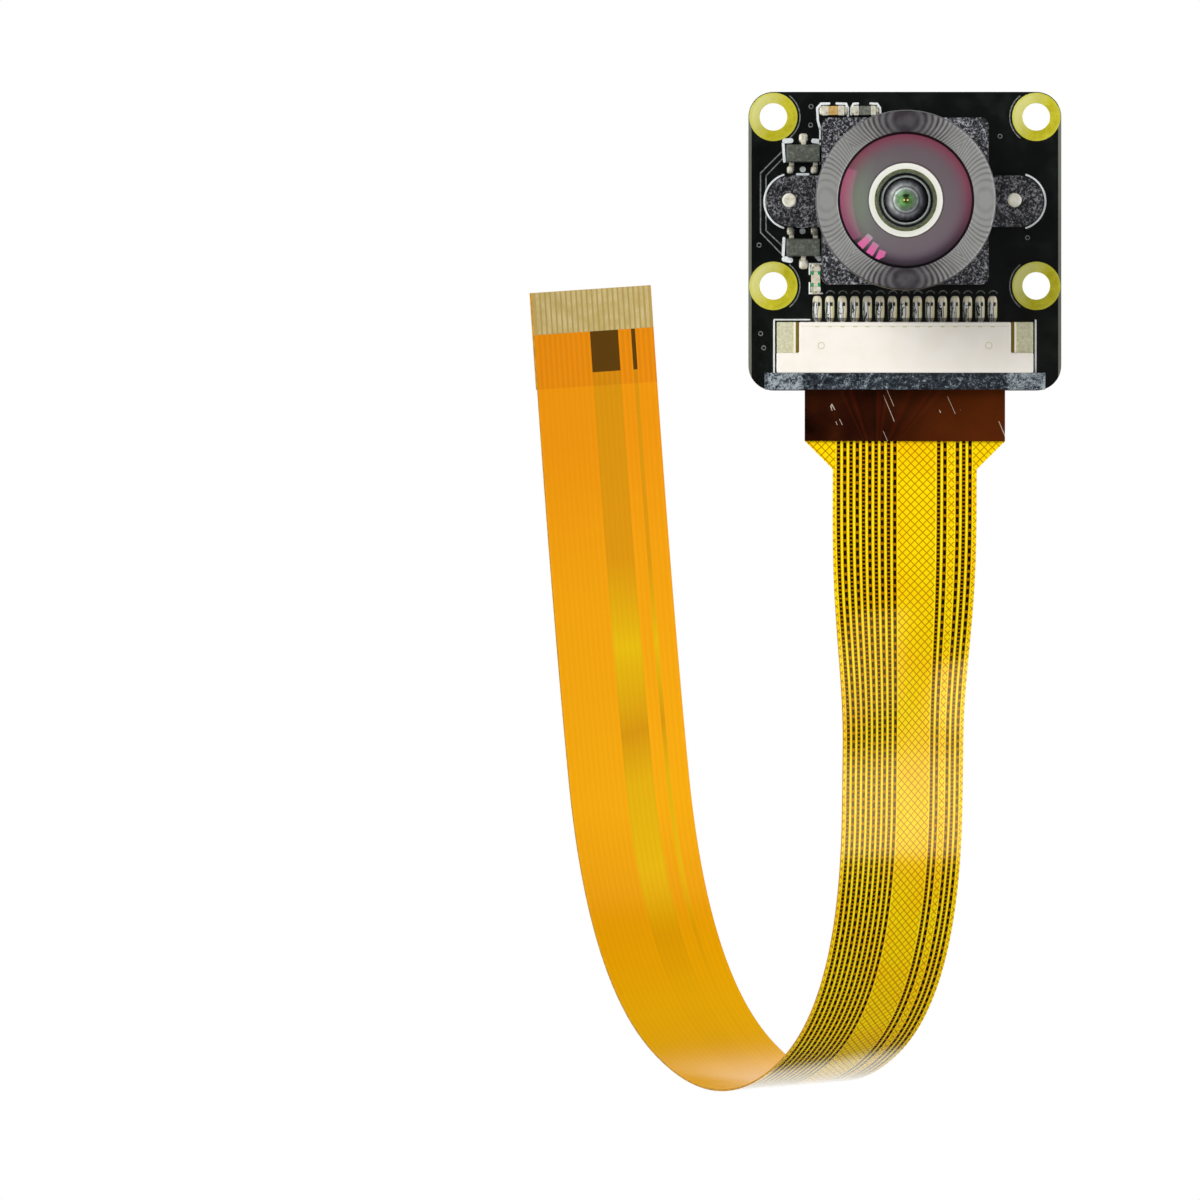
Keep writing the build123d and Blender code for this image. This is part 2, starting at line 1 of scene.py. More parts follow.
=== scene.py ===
# %% [markdown]
# # A wide-angle camera board with its flat cable
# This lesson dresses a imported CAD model: a small black circuit board with a screw-in lens, a
# flat-cable connector and its bent ribbon. The CAD gives every size. Here each surface gets the
# finish of the real thing, and the parts that the eye rests on get finer meshes.

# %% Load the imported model
import math
import random
from functools import partial

import bmesh
import bpy
from mathutils import Matrix, Vector


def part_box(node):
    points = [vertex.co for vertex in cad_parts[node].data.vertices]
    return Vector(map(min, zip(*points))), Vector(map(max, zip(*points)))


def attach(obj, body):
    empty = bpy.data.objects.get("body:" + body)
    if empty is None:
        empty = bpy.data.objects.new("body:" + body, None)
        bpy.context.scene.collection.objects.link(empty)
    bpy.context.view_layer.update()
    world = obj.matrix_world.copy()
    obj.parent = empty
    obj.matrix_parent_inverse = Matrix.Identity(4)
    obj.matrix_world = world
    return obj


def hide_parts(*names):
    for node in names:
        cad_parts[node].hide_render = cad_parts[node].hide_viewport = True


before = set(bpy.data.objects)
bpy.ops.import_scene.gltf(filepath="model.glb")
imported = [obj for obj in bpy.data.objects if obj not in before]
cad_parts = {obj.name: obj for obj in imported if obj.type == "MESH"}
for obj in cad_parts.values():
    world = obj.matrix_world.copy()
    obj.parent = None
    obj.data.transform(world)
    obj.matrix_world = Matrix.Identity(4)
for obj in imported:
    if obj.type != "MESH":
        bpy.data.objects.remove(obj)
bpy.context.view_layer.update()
MM = 0.001
board_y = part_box("circuit_board")[0][1] / MM
random.seed(7)

# %% [markdown]
# The camera stands far off with a long lens, so the picture is almost parallel, as a catalogue
# picture of a small part is. It looks straight at the front of the board. The tail of the cable
# hangs below the board and comes forward to the left, so the middle of the picture is left of it.

# %% Camera
view_width = 95.85
view_distance = 4200.0
camera = bpy.data.objects.new("camera", bpy.data.cameras.new("camera"))
bpy.context.collection.objects.link(camera)
camera.data.lens = camera.data.sensor_width * view_distance / view_width
camera.data.clip_end = 10
camera.location = Vector((-24.35, board_y - view_distance, -31.84)) * MM
camera.rotation_euler = (math.radians(90), 0, 0)
bpy.context.scene.camera = camera
bpy.context.scene.view_settings.view_transform = "Standard"
print("camera lens:", round(camera.data.lens, 1), "mm")

# %% [markdown]
# Every material below is a node tree. One small function adds a node, sets what it is told and
# makes the links, and gives back one output, so that a tree reads like a sum. Each material gets it
# as add, tied to its own tree. Colours are written as they look on a screen, and one function turns
# them to the linear light that Blender works in.

# %% Colours and nodes
def linear(code):
    """The linear colour, with its alpha, of an sRGB hex colour."""
    parts = [int(code[start:start + 2], 16) / 255 for start in (0, 2, 4)]
    return [part / 12.92 if part <= 0.04045 else ((part + 0.055) / 1.055) ** 2.4 for part in parts] + [1]


def node(tree, kind, inputs=None, out=0, stops=None, **settings):
    """Adds a node with its settings, stops of a colour ramp and inputs, and gives one output.
    The kind is Blender's own name, without ShaderNode. Sockets 6 and 7 of a Mix are colours."""
    made = tree.nodes.new("ShaderNode" + kind)
    if kind == "Mix" and 6 in inputs:
        made.data_type, out = "RGBA", 2
    for name, value in settings.items():
        setattr(made, name, value)
    if stops:
        elements = made.color_ramp.elements
        while len(elements) < len(stops):
            elements.new(0.5)
        for element, (place, code) in zip(elements, stops):
            element.position = place
            element.color = linear(code)
    for key, value in (inputs or {}).items():
        if isinstance(value, bpy.types.NodeSocket):
            tree.links.new(value, made.inputs[key])
        else:
            made.inputs[key].default_value = linear(value) if isinstance(value, str) else value
    return made.outputs[out] if made.outputs else made


def material(name):
    """An empty material, and the function that adds a node to its tree."""
    made = bpy.data.materials.new(name)
    made.use_nodes = True
    made.node_tree.nodes.clear()
    return made, partial(node, made.node_tree)


def surface(add, inputs):
    """Ends a material in a Principled surface with these inputs."""
    shader = add("BsdfPrincipled", inputs)
    add("OutputMaterial", {"Surface": shader})


print("white in linear light:", linear("ffffff"))

# %% [markdown]
# The studio is plain. The world is white to the camera. For reflections it is white behind the
# object and dim in front of it, as it is round a camera that stands in a dark room before a white
# backdrop, so black parts stay black and the thin ribbon still shines where it turns edge on.
# The floor is below the picture, because the board is held by its mounting holes. In reflections
# its front part is dim too, and its far part glows as the backdrop does.

# %% World and floor
def millimetres(add, axis):
    """A coordinate of the object in millimetres: axis 0 is x, 1 is y and 2 is z."""
    place = add("TexCoord", out="Object")
    along = add("SeparateXYZ", {0: place}, axis)
    return add("Math", {0: along, 1: 1 / MM}, operation="MULTIPLY")


world = bpy.data.worlds.new("studio")
bpy.context.scene.world = world
world.use_nodes = True
world.node_tree.nodes.clear()
add = partial(node, world.node_tree)
direction = add("TexCoord", out=0)
away = add("SeparateXYZ", {0: direction}, out=1)
dim_front = add("MapRange", {0: away, 1: 0.55, 2: 0.7, 3: 0.06, 4: 1.5})
seen, shiny, clear = (add("LightPath", out=f"Is {ray} Ray") for ray in ("Camera", "Glossy", "Transmission"))
ambient = 0.36
reflected = add("Mix", {0: shiny, 2: ambient, 3: dim_front})
strength = add("Math", {0: seen, 1: clear}, operation="MAXIMUM")
strength = add("Mix", {0: strength, 2: reflected, 3: 1.0})
light = add("Background", {0: "ffffff", 1: strength})
add("OutputWorld", {0: light})

floor_mesh = bpy.data.meshes.new("floor")
reach = 300 * MM
low = -85 * MM
corners = [(-reach, -reach, low), (reach, -reach, low), (reach, reach, low), (-reach, reach, low)]
floor_mesh.from_pydata(corners, [], [(0, 1, 2, 3)])
floor = bpy.data.objects.new("floor", floor_mesh)
bpy.context.collection.objects.link(floor)
paper, add = material("matt_white_paper")
fibres = add("TexNoise", {"Scale": 900.0, "Detail": 3.0})
tone = add("ValToRGB", {0: fibres}, stops=[(0.3, "f1f1ef"), (0.7, "fafaf8")])
depth = millimetres(add, 1)
mirrored = add("LightPath", out="Is Glossy Ray")
dim_until, pale_from = 28.0, 34.0
far_side = add("MapRange", {0: depth, 1: dim_until, 2: pale_from})
near_side = add("Math", {0: 1.0, 1: far_side}, operation="SUBTRACT")
near_side = add("Math", {0: near_side, 1: mirrored}, operation="MULTIPLY")
tone = add("Mix", {0: near_side, 6: tone, 7: "383838"})
glow = add("Math", {0: far_side, 1: mirrored}, operation="MULTIPLY")
glow = add("Math", {0: glow, 1: 0.45}, operation="MULTIPLY")
surface(add, {"Base Color": tone, "Roughness": 0.9, "Emission Color": "ffffff", "Emission Strength": glow})
floor_mesh.materials.append(paper)
print("floor at z =", low)

# %% [markdown]
# A soft key lamp stands at the upper left in front, a weaker one at the right. Two tall lamps at
# the sides do little for the flat board, but the turned grooves of the lens ring catch them as
# bright fans. The key lamp gives no reflections, so the black parts do not turn grey.

# %% Lamps
def lamp(name, place, size, power, target=(0, -8, 0)):
    """A soft rectangular lamp at a place in millimetres, aimed at a point."""
    data = bpy.data.lights.new(name, "AREA")
    data.shape = "RECTANGLE"
    data.size, data.size_y = size[0] * MM, size[1] * MM
    data.energy = power
    obj = bpy.data.objects.new(name, data)
    bpy.context.collection.objects.link(obj)
    obj.location = Vector(place) * MM
    obj.rotation_euler = (Vector(target) * MM - obj.location).to_track_quat("-Z", "Y").to_euler()
    obj.visible_camera = False
    return obj


key_lamp = lamp("key_lamp", (-380, -620, 380), (420, 420), 4.15)
key_lamp.visible_glossy = False
lamp("fill_lamp", (600, -500, -60), (420, 420), 1.2)
lamp("left_lamp", (-330, -85, -20), (60, 260), 0.3)
lamp("right_lamp", (330, -85, 20), (60, 260), 0.2)

# %% [markdown]
# The ribbon is the largest thing in the picture: a flat flexible circuit about 147 mm long, copper
# between two amber films. It leaves the connector straight down, bends back far below the board's
# bottom edge and comes up behind and to the left, showing its other face. It could be a cloth
# simulation, but a flex circuit is springy and keeps one clean curve, so a spline is truer. The
# spline has the same seven points as the CAD route, and the ribbon's edges are set out from it.

# %% The line of the ribbon
route = [
    (0, -0.00185, -0.0102),
    (0, -0.00185, -0.0330),
    (-0.0004, 0.0025, -0.0636),
    (-0.0101, 0.0184, -0.0734),
    (-0.0205, 0.0327, -0.0621),
    (-0.0236, 0.0338, -0.0298),
    (-0.0251, 0.0336, -0.0068),
]
line_data = bpy.data.curves.new("ribbon_line", "CURVE")
line_data.dimensions = "3D"
line_data.resolution_u = 64
spline = line_data.splines.new("NURBS")
spline.points.add(len(route) - 1)
for control, point in zip(spline.points, route):
    control.co = (*point, 1)
spline.order_u = 3
spline.use_endpoint_u = True
line_object = bpy.data.objects.new("ribbon_line", line_data)
line_mesh = bpy.data.meshes.new_from_object(line_object)
line_points = [vertex.co.copy() for vertex in line_mesh.vertices]
bpy.data.objects.remove(line_object)
line_lengths = [0.0]
for near, far in zip(line_points, line_points[1:]):
    line_lengths.append(line_lengths[-1] + (far - near).length)
ribbon_length = line_lengths[-1] / MM
print("ribbon length:", round(ribbon_length, 2), "mm in", len(line_points), "points")

# %% [markdown]
# At the connector the ribbon's width lies along the board. In the bend it lies along the bend's
# own axis, which is square to the plane through the route's bend. Between the two it turns
# smoothly, as the real one does when its free end is pulled aside.

# %% Sections of the ribbon
wide, narrow, thickness = 16.0, 11.5, 0.15
plug_film = 8.95
tail_film = 7.8
shoulder = (wide - narrow) / 2
twist_start, twist_end = plug_film + shoulder, 33.0
second, fourth, sixth = (Vector(route[number]) for number in (1, 3, 5))
bend_axis = (fourth - second).cross(sixth - second).normalized()


def ribbon_at(distance):
    """The place, the way across and the way out of face A, that far along the ribbon in mm."""
    wanted = min(max(distance * MM, 0), line_lengths[-1] - 1e-9)
    number = max(n for n, length in enumerate(line_lengths[:-1]) if length <= wanted)
    near, far = line_points[number], line_points[number + 1]
    share = (wanted - line_lengths[number]) / (line_lengths[number + 1] - line_lengths[number])
    last = len(line_points) - 1
    ahead = (line_points[min(number + 2, last)] - line_points[max(number - 1, 0)]).normalized()
    turn = min(max((distance - twist_start) / (twist_end - twist_start), 0), 1)
    turn = turn * turn * (3 - 2 * turn)
    across = Vector((1, 0, 0)).lerp(bend_axis, turn)
    across = (across - ahead * across.dot(ahead)).normalized()
    return near.lerp(far, share) / MM, across, ahead.cross(across)


def half_width(distance):
    """Half the ribbon's width: wide in the connector, then narrowed by a slanted shoulder."""
    return narrow / 2 + shoulder * min(max((twist_start - distance) / shoulder, 0), 1)


print("across at the free end:", [round(value, 3) for value in ribbon_at(ribbon_length)[1]])

# %% [markdown]
# A strip with a small rectangular section is drawn along the line. Its UV map is in
# millimetres, across from its left edge and along from the connector, so that the copper pattern
# can be worked out from real sizes. Its two faces have a material each.

# %% Mesh helpers
def piece(name, points, faces, body, finish, slot, replaces=(), smooth=None, indices=None):
    """A mesh piece from points in millimetres, with its body, finish, slot and replaced nodes; the slot is
    not used.
    """
    mesh = bpy.data.meshes.new(name)
    mesh.from_pydata([Vector(point) * MM for point in points], [], faces)
    for one in finish if isinstance(finish, (list, tuple)) else [finish]:
        mesh.materials.append(one)
    if indices:
        mesh.polygons.foreach_set("material_index", indices)
    work = bmesh.new()
    work.from_mesh(mesh)
    bmesh.ops.recalc_face_normals(work, faces=work.faces)
    work.to_mesh(mesh)
    work.free()
    if smooth is not None:
        mesh.shade_smooth()
        mesh.set_sharp_from_angle(angle=math.radians(smooth))
    obj = bpy.data.objects.new(name, mesh)
    bpy.context.collection.objects.link(obj)
    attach(obj, body)
    if replaces:
        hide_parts(*replaces)
    return obj


def strip(start, end, step, low, high, width=half_width, middle=0.0, columns=10):
    """Points, faces, UVs and face kinds of a strip along the ribbon, between two distances and two
    heights over its middle layer. Kind 0 is face A, 1 is face B and 2 is an edge. The columns
    across keep the two faces apart where the ribbon twists."""
    sides = [2 * number / columns - 1 for number in range(columns + 1)]
    rim = [(side, high) for side in sides] + [(side, low) for side in reversed(sides)]
    count_round = len(rim)
    rim_kinds = [0] * columns + [2] + [1] * columns + [2]
    count = max(2, round((end - start) / step) + 1)
    stations = {start + (end - start) * number / (count - 1) for number in range(count)}
    stations |= {stop for stop in (plug_film, twist_start) if start < stop < end}
    points, faces, uvs, kinds = [], [], [], []
    for distance in sorted(stations):
        place, across, out = ribbon_at(distance)
        for side, lift in rim:
            offset = middle + side * width(distance)
            points.append(place + across * offset + out * lift)
            uvs.append((offset + narrow / 2, distance))
    for base in range(0, len(points) - count_round, count_round):
        above = base + count_round
        for corner, kind in enumerate(rim_kinds):
            other = (corner + 1) % count_round
            faces.append((base + corner, base + other, above + other, above + corner))
            kinds.append(kind)
    faces += [tuple(range(count_round)), tuple(range(len(points) - count_round, len(points)))]
    kinds += [2, 2]
    return points, faces, uvs, kinds


def ribbon_piece(name, strips, finish, slot, replaces):
    """One piece from strips along the ribbon, with their UV map in millimetres."""
    points, faces, uvs, kinds = [], [], [], []
    for some_points, some_faces, some_uvs, some_kinds in strips:
        faces += [[number + len(points) for number in face] for face in some_faces]
        points += some_points
        uvs += some_uvs
        kinds += some_kinds
    kinds = [min(kind, len(finish) - 1) for kind in kinds]
    obj = piece(name, points, faces, "camera_board", finish, slot, replaces, 30, kinds)
    layer = obj.data.uv_layers.new(name="millimetres")
    for loop in obj.data.loops:
        layer.data[loop.index].uv = uvs[loop.vertex_index]
    return obj


print("helpers ready")

# %% [markdown]
# The CAD solids of the board, the holder and the connector already have the right shape, so they
# stay, and get a better surface and softer edges. A moulded or fired part has no knife edge: its
# corners are rounded by 0.05 to 0.2 mm, and that thin line catches the light.

# %% Finish for CAD nodes
def dress(name, finish, edge=None):
    """Gives a CAD node a material, and rounds its edges by a radius in millimetres."""
    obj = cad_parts[name]
    obj.data.materials.clear()
    obj.data.materials.append(finish)
    if edge:
        weld = obj.modifiers.new("weld", "WELD")
        weld.merge_threshold = 0.001 * MM
        flat = obj.modifiers.new("flat_faces", "DECIMATE")
        flat.decimate_type = "DISSOLVE"
        flat.angle_limit = math.radians(1)
        bevel = obj.modifiers.new("soft_edges", "BEVEL")
        bevel.width = edge * MM
        bevel.segments = 2
        bevel.limit_method = "ANGLE"
        bevel.angle_limit = math.radians(40)
    return obj


def grained(name, stops, grain, roughness, dent, metallic=0.0, detail=4.0):
    """A material with a random grain: colours, grain size in mm, roughness range, dent depth in mm."""
    made, add = material(name)
    place = add("TexCoord", out="Object")
    cloud = add("TexNoise", {"Vector": place, "Scale": 1 / (grain * MM), "Detail": detail})
    tone = add("ValToRGB", {0: cloud}, stops=stops)
    gloss = add("MapRange", {0: cloud, 1: 0.3, 2: 0.7, 3: roughness[0], 4: roughness[1]})
    bump = add("Bump", {"Height": cloud, "Strength": 0.6, "Distance": dent * MM})
    surface(add, {"Base Color": tone, "Roughness": gloss, "Metallic": metallic, "Normal": bump})
    return made


print("nodes to dress:", len(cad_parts))

# %% [markdown]
# Polyimide film is a clear amber plastic, about 0.05 mm thick, rolled smooth, so it has a soft
# mirror shine. The copper under it shows as pale yellow through the film, and the gaps between
# the conductors show darker. On face A, the screen over the data lines is a mesh of thin copper,
# and ten narrow conductors run beside it with rows of tiny gaps. The conductors are 0.5 mm apart,
# which is the pitch of the contacts at the free end. The mesh is drawn 0.65 mm wide. Polyimide
# bends light more than most plastics, 1.7, so at a slant the film turns into a pale mirror.

# %% Amber film, face A
amber_a, add = material("polyimide_film_over_copper_mesh")
pitch = 0.5
first_line = 0.21


def on_ribbon(add):
    """The place on the ribbon in millimetres: both ways, across and along."""
    place = add("UVMap", uv_map="millimetres")
    return place, add("SeparateXYZ", {0: place}, 0), add("SeparateXYZ", {0: place}, 1)


def between(add, value, low, high):
    """1 where a value is between two numbers, and 0 elsewhere."""
    over = add("Math", {0: value, 1: low}, operation="GREATER_THAN")
    under = add("Math", {0: value, 1: high}, operation="LESS_THAN")
    return add("Math", {0: over, 1: under}, operation="MULTIPLY")


def cell(add, value, start, size, whole=False):
    """The share of the way through a repeating cell, or the cell's whole number."""
    shifted = add("Math", {0: value, 1: start}, operation="SUBTRACT")
    scaled = add("Math", {0: shifted, 1: size}, operation="DIVIDE")
    return add("Math", {0: scaled}, operation="FLOOR" if whole else "FRACT")


place, across, along = on_ribbon(add)
column = cell(add, across, first_line, pitch)
number = cell(add, across, first_line, pitch, whole=True)
odd = add("Math", {0: number, 1: 2.0}, operation="FLOORED_MODULO")
chance = add("TexWhiteNoise", {"W": number}, out=0, noise_dimensions="1D")
period = add("Mix", {0: odd, 2: 0.33, 3: 0.66})
shifted = add("Math", {0: along, 1: chance}, operation="ADD")
beat = add("Math", {0: shifted, 1: period}, operation="DIVIDE")
beat = add("Math", {0: beat}, operation="FRACT")
dash = between(add, beat, 0.0, 0.66)
in_line = between(add, column, 0.25, 0.75)
dark = add("Math", {0: dash, 1: in_line}, operation="MULTIPLY")
lines = between(add, across, first_line, 5.21)
for low, high in ((8.21, 9.21), (9.71, 11.21)):
    group = between(add, across, low, high)
    lines = add("Math", {0: lines, 1: group}, operation="ADD")
stripe = add("ValToRGB", {0: column}, stops=[
    (0.0, "ffee1c"), (0.12, "ffea14"), (0.26, "a06800"),
    (0.5, "b67a04"), (0.74, "a06800"), (0.88, "ffea14"),
])
stripe = add("Mix", {0: dark, 6: stripe, 7: "1c0a00"})
first_way = add("Math", {0: across, 1: along}, operation="ADD")
second_way = add("Math", {0: across, 1: along}, operation="SUBTRACT")
mesh_pitch, mesh_share = 0.65, 0.18
mesh_line = between(add, cell(add, first_way, 0.0, mesh_pitch), 0.0, mesh_share)
other_line = between(add, cell(add, second_way, 0.0, mesh_pitch), 0.0, mesh_share)
mesh_line = add("Math", {0: mesh_line, 1: other_line}, operation="MAXIMUM")
net = add("Mix", {0: mesh_line, 6: "ffde06", 7: "c08a00"})
cloud = add("TexNoise", {"Vector": place, "Scale": 0.18, "Detail": 2.0})
amber = add("Mix", {0: lines, 6: net, 7: stripe})
warm = add("ValToRGB", {0: cloud}, stops=[(0.35, "fff0dc"), (0.6, "ffffff")])
amber = add("Mix", {0: 1.0, 6: amber, 7: warm}, blend_type="MULTIPLY")
ripple = add("TexNoise", {"Vector": place, "Scale": 0.5, "Detail": 2.0})
gloss = add("MapRange", {0: ripple, 3: 0.13, 4: 0.2})
relief = add("Mix", {0: mesh_line, 2: 1.0, 3: 0.0})
bump = add("Bump", {"Height": relief, "Strength": 0.12, "Distance": 0.00003})
slant = add("LayerWeight", {0: 0.5}, 1)
skin = add("MapRange", {0: slant, 1: 0.46, 2: 0.62, 3: 0.12, 4: 1.0})
surface(add, {"Base Color": amber, "Roughness": gloss, "Normal": bump, "Specular Tint": "ffc23c",
               "Coat Weight": skin, "Coat Roughness": 0.12, "Coat IOR": 1.7})

# %% [markdown]
# Face B is the plain side. The film lies over the conductors without a mesh, a deeper orange. A
# strip with no copper behind it shows olive, because light comes through the film there. Near the
# free end a brown sheet on the other side darkens it, and two bare windows show that sheet.

# %% Amber film, face B
amber_b, add = material("polyimide_film_over_conductors")
place, across, along = on_ribbon(add)
cloud = add("TexNoise", {"Vector": place, "Scale": 0.07, "Detail": 1.0})
drift = add("MapRange", {0: cloud, 3: -3.0, 4: 3.0})
drift = add("Math", {0: along, 1: drift}, operation="ADD")
tail_share = add("MapRange", {0: drift, 1: ribbon_length - 60, 2: ribbon_length})
tint = add("ValToRGB", {0: tail_share}, stops=[
    (0.0, "f4b600"), (0.17, "f4a800"), (0.3, "ffb600"), (0.58, "fcac00"), (0.8, "f89c00"),
])
bare = add("ValToRGB", {0: tail_share}, stops=[
    (0.03, "f2b400"), (0.13, "eaa600"), (0.22, "f0c400"), (0.34, "ecbc00"),
    (0.42, "dc9c00"), (0.53, "f0c800"), (0.63, "e49c00"), (1.0, "e09800"),
])
window, slim_window = between(add, across, 5.35, 8.05), between(add, across, 9.3, 9.7)
windows = add("Math", {0: window, 1: slim_window}, operation="ADD")
orange = add("Mix", {0: windows, 6: tint, 7: bare})
column = cell(add, across, first_line, pitch)
shade = add("ValToRGB", {0: column}, stops=[
    (0.0, "ffffff"), (0.4, "f3ead8"), (0.6, "f3ead8"), (1.0, "ffffff"),
])
tail_start = ribbon_length - tail_film
film = add("Math", {0: along, 1: tail_start}, operation="GREATER_THAN")
strength = add("Mix", {0: film, 2: 0.35, 3: 1.0})
orange = add("Mix", {0: strength, 6: orange, 7: shade}, blend_type="MULTIPLY")
orange = add("Mix", {0: film, 6: orange, 7: "fbf2e6"}, blend_type="MULTIPLY")
bared = between(add, along, ribbon_length - 6.7, ribbon_length)
dark_window = add("Math", {0: windows, 1: bared}, operation="MULTIPLY")
orange = add("Mix", {0: dark_window, 6: orange, 7: "2c1800"})
contact_length = 3.4
tip = add("Math", {0: along, 1: ribbon_length - contact_length}, operation="GREATER_THAN")
orange = add("Mix", {0: tip, 6: orange, 7: "c0a868"})
ripple = add("TexNoise", {"Vector": place, "Scale": 0.4, "Detail": 2.0})
gloss = add("MapRange", {0: ripple, 3: 0.2, 4: 0.28})
surface(add, {"Base Color": orange, "Roughness": gloss, "Specular Tint": "ffae00"})

# %% [markdown]
# The brown sheets at both ends are thicker polyimide, stiff enough to push into a connector. The
# one at the camera end is scratched where the latch has rubbed it, and shows a fan of dark and
# red streaks, from the way that the sheet was drawn. The contacts are gold over nickel, thin and
# slightly matt.

# %% Brown sheet and gold
sheet, add = material("brown_polyimide_sheet")
place = add("TexCoord", out="Object")
cloud = add("TexNoise", {"Vector": place, "Scale": 260.0, "Detail": 4.0})
brown = add("ValToRGB", {0: cloud}, stops=[(0.32, "110301"), (0.5, "270c05"), (0.68, "3f1a08")])
right_part = add("MapRange", {0: millimetres(add, 0), 1: -4.0, 2: 6.0, 3: 0.0, 4: 0.55})
brown = add("Mix", {0: right_part, 6: brown, 7: "6a2e0c"})
from_root = add("VectorMath", {0: place, 1: (2.3 * MM, 0, 21.3 * MM)}, operation="ADD")
east = add("SeparateXYZ", {0: from_root}, 0)
north = add("SeparateXYZ", {0: from_root}, 2)
bearing = add("Math", {0: east, 1: north}, operation="ARCTAN2")
streak = add("TexNoise", {"W": bearing, "Scale": 11.0, "Detail": 2.0}, noise_dimensions="1D")
streak = add("ValToRGB", {0: streak}, stops=[
    (0.38, "140d08"), (0.5, "280c08"), (0.64, "50160e"),
])
aside = add("Math", {0: bearing}, operation="ABSOLUTE")
in_fan = add("MapRange", {0: aside, 1: 0.62, 2: 0.8, 3: 0.4, 4: 0.05})
brown = add("Mix", {0: in_fan, 6: brown, 7: streak})
slanted = add("Math", {0: north, 1: 0.42, 2: east}, operation="MULTIPLY_ADD")
slanted = add("CombineXYZ", {0: slanted, 1: north})
slanted = add("VectorMath", {0: slanted, 1: (1100, 45, 0)}, operation="MULTIPLY")
scuff = add("TexNoise", {"Vector": slanted, "Scale": 1.0, "Detail": 0.0})
scratch = between(add, scuff, 0.49, 0.51)
rare = add("TexNoise", {"Vector": place, "Scale": 430.0})
rare = add("Math", {0: rare, 1: 0.63}, operation="GREATER_THAN")
scratch = add("Math", {0: scratch, 1: rare}, operation="MULTIPLY")
brown = add("Mix", {0: scratch, 6: brown, 7: "b8aca0"})
surface(add, {"Base Color": brown, "Roughness": 0.28, "Specular Tint": "c98a50"})

cut_edge = grained("cut_edge_of_film", [(0.3, "a8740c"), (0.7, "d29a1c")], 0.4, (0.45, 0.6), 0.01)
gold, add = material("gold_over_nickel")
place = add("TexCoord", out="Object")
cloud = add("TexNoise", {"Vector": place, "Scale": 900.0, "Detail": 3.0})
tone = add("ValToRGB", {0: cloud}, stops=[(0.3, "c9b36a"), (0.7, "e0cf94")])
wear = add("MapRange", {0: cloud, 3: 0.42, 4: 0.6})
surface(add, {"Base Color": tone, "Roughness": wear, "Metallic": 0.35})

# %% Ribbon pieces
half = thickness / 2
ribbon = ribbon_piece("flex_ribbon", [strip(0, ribbon_length, 0.8, -half, half)],
                      [amber_a, amber_b, cut_edge], "polyimide_film", ["flex_cable"])
plug_sheet = ribbon_piece("plug_sheet", [strip(0, plug_film, 1.0, half, 2 * thickness)], [sheet],
                          "brown_stiffener", ["plug_stiffener"])
tail_sheet = ribbon_piece("tail_sheet", [strip(tail_start, ribbon_length, 1.0, half, half + thickness)],
                          [sheet, sheet, cut_edge], "brown_stiffener", ["tail_stiffener"])
contact_width, contact_lift, tail_count = 0.32, 0.03, 22
fingers = [
    strip(ribbon_length - contact_length, ribbon_length - 0.02, 1.1, -half - contact_lift, -half,
          lambda distance: contact_width / 2, (number - (tail_count - 1) / 2) * pitch, columns=1)
    for number in range(tail_count)
]
tail_fingers = ribbon_piece("tail_fingers", fingers, [gold], "gold_contacts", ["tail_contacts"])
dress("plug_contacts", gold)
print("ribbon faces:", len(ribbon.data.polygons), "contacts:", len(fingers))

# %% [markdown]
# Half way down, the film mirrors something pale that stands low at the right. A lamp that lights
# only the ribbon, and only by reflection, reaches from where the upper end of that sheen is
# mirrored to where its lower end is.

# %% Sheen on the ribbon
ribbon_only = bpy.data.collections.new("ribbon_only")
ribbon_only.objects.link(ribbon)
sheen_far, sheen_width = 100.0, 36.0
mirrored_ends = []
sheen_start, sheen_end = 34.0, 49.0
for distance in (sheen_start, sheen_end):
    spot, across, out = ribbon_at(distance)
    mirrored_ends.append(spot + sheen_far * (Vector((0, 1, 0)) - 2 * out.y * out))
sheen_length = (mirrored_ends[1] - mirrored_ends[0]).length
middle = (mirrored_ends[0] + mirrored_ends[1]) / 2
away = (middle - ribbon_at((sheen_start + sheen_end) / 2)[0]).normalized()
upward = (mirrored_ends[0] - mirrored_ends[1]).normalized()
upward = (upward - away * upward.dot(away)).normalized()
sheen = lamp("film_sheen", middle, (sheen_width, sheen_length), 0.0)
sheen.data.energy = 5.8 * math.pi * sheen_width * sheen_length * MM * MM
sheen.rotation_euler = Matrix((upward.cross(away), upward, away)).transposed().to_euler()
sheen.visible_diffuse = False
sheen.light_linking.receiver_collection = ribbon_only
print("sheen lamp:", round(sheen_length, 1), "mm long at", [round(value) for value in middle])

# %% [markdown]
# The board is glass cloth in epoxy with black solder mask printed over its copper, so it is a deep
# green-black with a half shine. Along its left and right edges no copper lies under the mask, and
# a strip about 0.25 mm wide looks paler. The cut edge shows the same dark laminate.

# %% Circuit board
def off_centre(add, axis):
    """How far a point lies from the middle of the lens and the holes, in millimetres."""
    return add("Math", {0: millimetres(add, axis)}, operation="ABSOLUTE")


